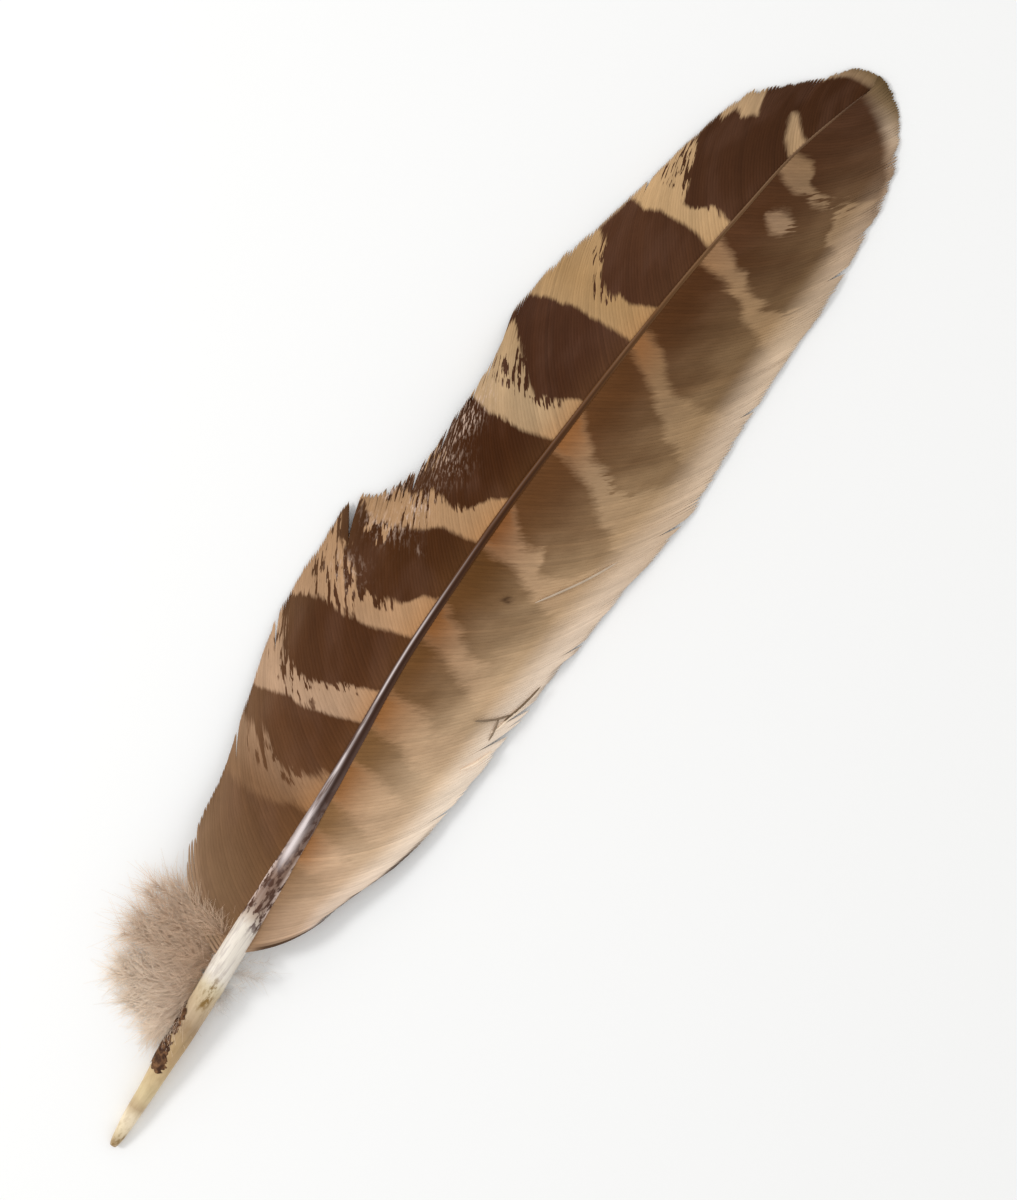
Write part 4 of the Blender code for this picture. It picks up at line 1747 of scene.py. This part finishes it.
@dataclass
class Studio:
    """The pale floor, the soft lights and the camera over the feather."""

    floor_half: float = 6.0
    floor_tone: Tone = (250, 250, 249)
    turn_deg: float = 35.7  # how far the feather leans to the right in the view
    aim: Point2 = (5.4, -1.6)  # middle of the view, along its own right and up, millimetres
    view_height: float = 146.0
    lens: float = 100.0
    sensor: float = 36.0
    sky: float = 0.80
    key_power: float = 0.85
    key_size: float = 0.12
    key_place: tuple[float, float, float] = (-0.38, 0.06, 0.33)  # right, up the view, above it

    def build(self) -> None:
        """Make the floor, the lights and the camera."""
        self.floor()
        self.light()
        self.camera()
        bpy.context.scene.view_settings.view_transform = "Standard"

    def floor(self) -> None:
        """One large plain pale sheet that the feather rests on."""
        shape = bmesh.new()
        bmesh.ops.create_grid(shape, x_segments=1, y_segments=1, size=self.floor_half)
        mesh = bpy.data.meshes.new("floor")
        shape.to_mesh(mesh)
        shape.free()
        board = NodeBoard("pale_floor")
        board.set(Base_Color=tone(*self.floor_tone), Roughness=0.9, Specular_IOR_Level=0.05)
        mesh.materials.append(board.material)
        floor = bpy.data.objects.new("floor", mesh)
        bpy.context.scene.collection.objects.link(floor)

    def directions(self) -> tuple[Vector, Vector]:
        """Work out how the view lies on the floor.

        Returns:
            Unit vectors to the view's right and up the view.
        """
        turn = math.radians(self.turn_deg)
        right = Vector((math.cos(turn), math.sin(turn), 0.0))
        return right, Vector((-right.y, right.x, 0.0))

    def light(self) -> None:
        """A pale sky all round and one soft lamp up and to the left of the view."""
        world = bpy.data.worlds.new("sky")
        world.use_nodes = True
        sky = world.node_tree.nodes["Background"]
        sky.inputs["Color"].default_value = (1.0, 1.0, 1.0, 1.0)
        sky.inputs["Strength"].default_value = self.sky
        bpy.context.scene.world = world
        right, up = self.directions()
        place = self.key_place[0] * right + self.key_place[1] * up + Vector((0.0, 0.0, self.key_place[2]))
        lamp = bpy.data.lights.new("key", "AREA")
        lamp.shape = "SQUARE"
        lamp.size = self.key_size
        lamp.energy = self.key_power
        key = bpy.data.objects.new("key", lamp)
        key.location = place
        key.rotation_euler = (-place).to_track_quat("-Z", "Y").to_euler()
        bpy.context.scene.collection.objects.link(key)

    def camera(self) -> None:
        """Look straight down, turned so that the feather leans as it lies."""
        right, up = self.directions()
        distance = self.view_height * MM * self.lens / self.sensor
        lens = bpy.data.cameras.new("camera")
        lens.lens = self.lens
        lens.sensor_width = self.sensor
        lens.clip_start = 0.01
        lens.clip_end = 20.0
        camera = bpy.data.objects.new("camera", lens)
        camera.location = (self.aim[0] * right + self.aim[1] * up) * MM + Vector((0.0, 0.0, distance))
        camera.rotation_euler = (0.0, 0.0, math.radians(self.turn_deg))
        bpy.context.scene.collection.objects.link(camera)
        bpy.context.scene.camera = camera


# ---------------------------------------------------------------- the feather


def build_vanes() -> None:
    """Build the two vanes and the loose barbs that lie on the pale one."""
    Vane(
        name="leading_web",
        node="leading_vane",
        slot="dark_vane",
        plan=LEADING_PLAN,
        bars=LEADING_BARS,
        mottles=LEADING_MOTTLES,
        pale_flecks=LEADING_PALE_FLECKS,
        glints=LEADING_GLINTS,
        finish=LEADING_FINISH,
        bleach_gain=((-50, 0.3), (-44, 0.2), (-34, 0.08), (-10, 0.0), (80, 0.0)),
        margin_gain=((-45, 0.2), (20, 0.0), (80, 0.0)),
        rust_share=0.6,
        rust_reach=2.4,
        seed=11,
    ).build()
    trailing = Vane(
        name="trailing_web",
        node="trailing_vane",
        slot="pale_vane",
        plan=TRAILING_PLAN,
        bars=TRAILING_BARS,
        mottles=TRAILING_MOTTLES,
        pale_flecks=TRAILING_PALE_FLECKS,
        stains=TRAILING_STAINS,
        rim_shade_line=(
            (-52, 0.0), (-50, 0.9), (-30, 0.9), (-27, 0.4), (-24, 0.0),
            (-8, 0.0), (-4, 0.3), (2, 0.3), (6, 0.0),
        ),
        finish=TRAILING_FINISH,
        bleach_gain=(
            (-45, 0.9), (-34, 0.95), (-23, 0.92), (-11, 0.84), (0, 0.82),
            (11, 0.74), (24, 0.56), (40, 0.42), (57, 0.28), (70, 0.08), (80, 0.0),
        ),
        margin_gain=((-45, 1.0), (43, 1.0), (50, 0.9), (58, 0.9), (64, 0.75), (70, 0.25), (80, 0.0)),
        rust_share=1.0,
        rust_reach=3.8,
        cloudiness=0.6,
        seed=23,
    )
    trailing.build()
    LooseBarbs(
        vane=trailing,
        lines=(
            ((13.4, 13.3), (11.6, 9.4), (9.8, 6.2), (8.1, 3.4)),
            ((12.6, -18.3), (13.4, -17.0), (14.0, -15.6), (14.4, -14.2)),
            ((13.0, -12.4), (13.5, -11.0), (13.8, -9.4), (14.2, -7.8)),
            ((10.5, -12.4), (11.7, -11.5), (12.9, -10.3), (13.6, -9.3)),
            ((13.4, -10.4), (13.9, -8.6), (14.3, -6.6), (14.6, -4.4)),
            ((12.7, -10.4), (13.0, -11.4), (13.2, -12.4), (13.3, -13.4)),
        ),
        paleness=(0.5, 1.0, 1.0, 0.16, 0.10, 0.20),
        finish=DownFinish("loose_barb", (92, 68, 42), (250, 228, 202)),
    ).build()


def build_down() -> None:
    """Build the two tufts of down at the foot of the vanes."""
    DownTuft(
        name="leading_down_tuft",
        node="leading_down",
        side=Side.LEADING,
        finish=DownFinish("grey_down", (206, 170, 138), (250, 230, 208)),
        seed=31,
        roots=(-62.0, -51.0),
        ends=((1.6, -66.2), (-2.7, -65.6), (-7.3, -62.5), (-9.8, -55.0), (-9.6, -48.5)),
        barb_count=84,
        hairs_per_side=72,
        hair_length=3.2,
    ).build()
    DownTuft(
        name="trailing_down_tuft",
        node="trailing_down",
        side=Side.TRAILING,
        finish=DownFinish("white_down", (226, 214, 202), (244, 240, 236)),
        seed=37,
        roots=(-58.0, -52.6),
        ends=((5.9, -59.5), (7.6, -56.5), (8.7, -52.5), (8.9, -49.5)),
        barb_count=14,
        hairs_per_side=18,
        hair_length=1.8,
        hair_radius=0.018,
    ).build()


def build_feather() -> None:
    """Build every piece of the feather, in order."""
    Shaft().build()
    TornSheath().build()
    build_vanes()
    build_down()


def main() -> None:
    """Build the feather and its studio."""
    logging.basicConfig(level=logging.INFO, format="%(name)s: %(message)s")
    build_feather()
    Studio().build()


if __name__ == "__main__":
    main()
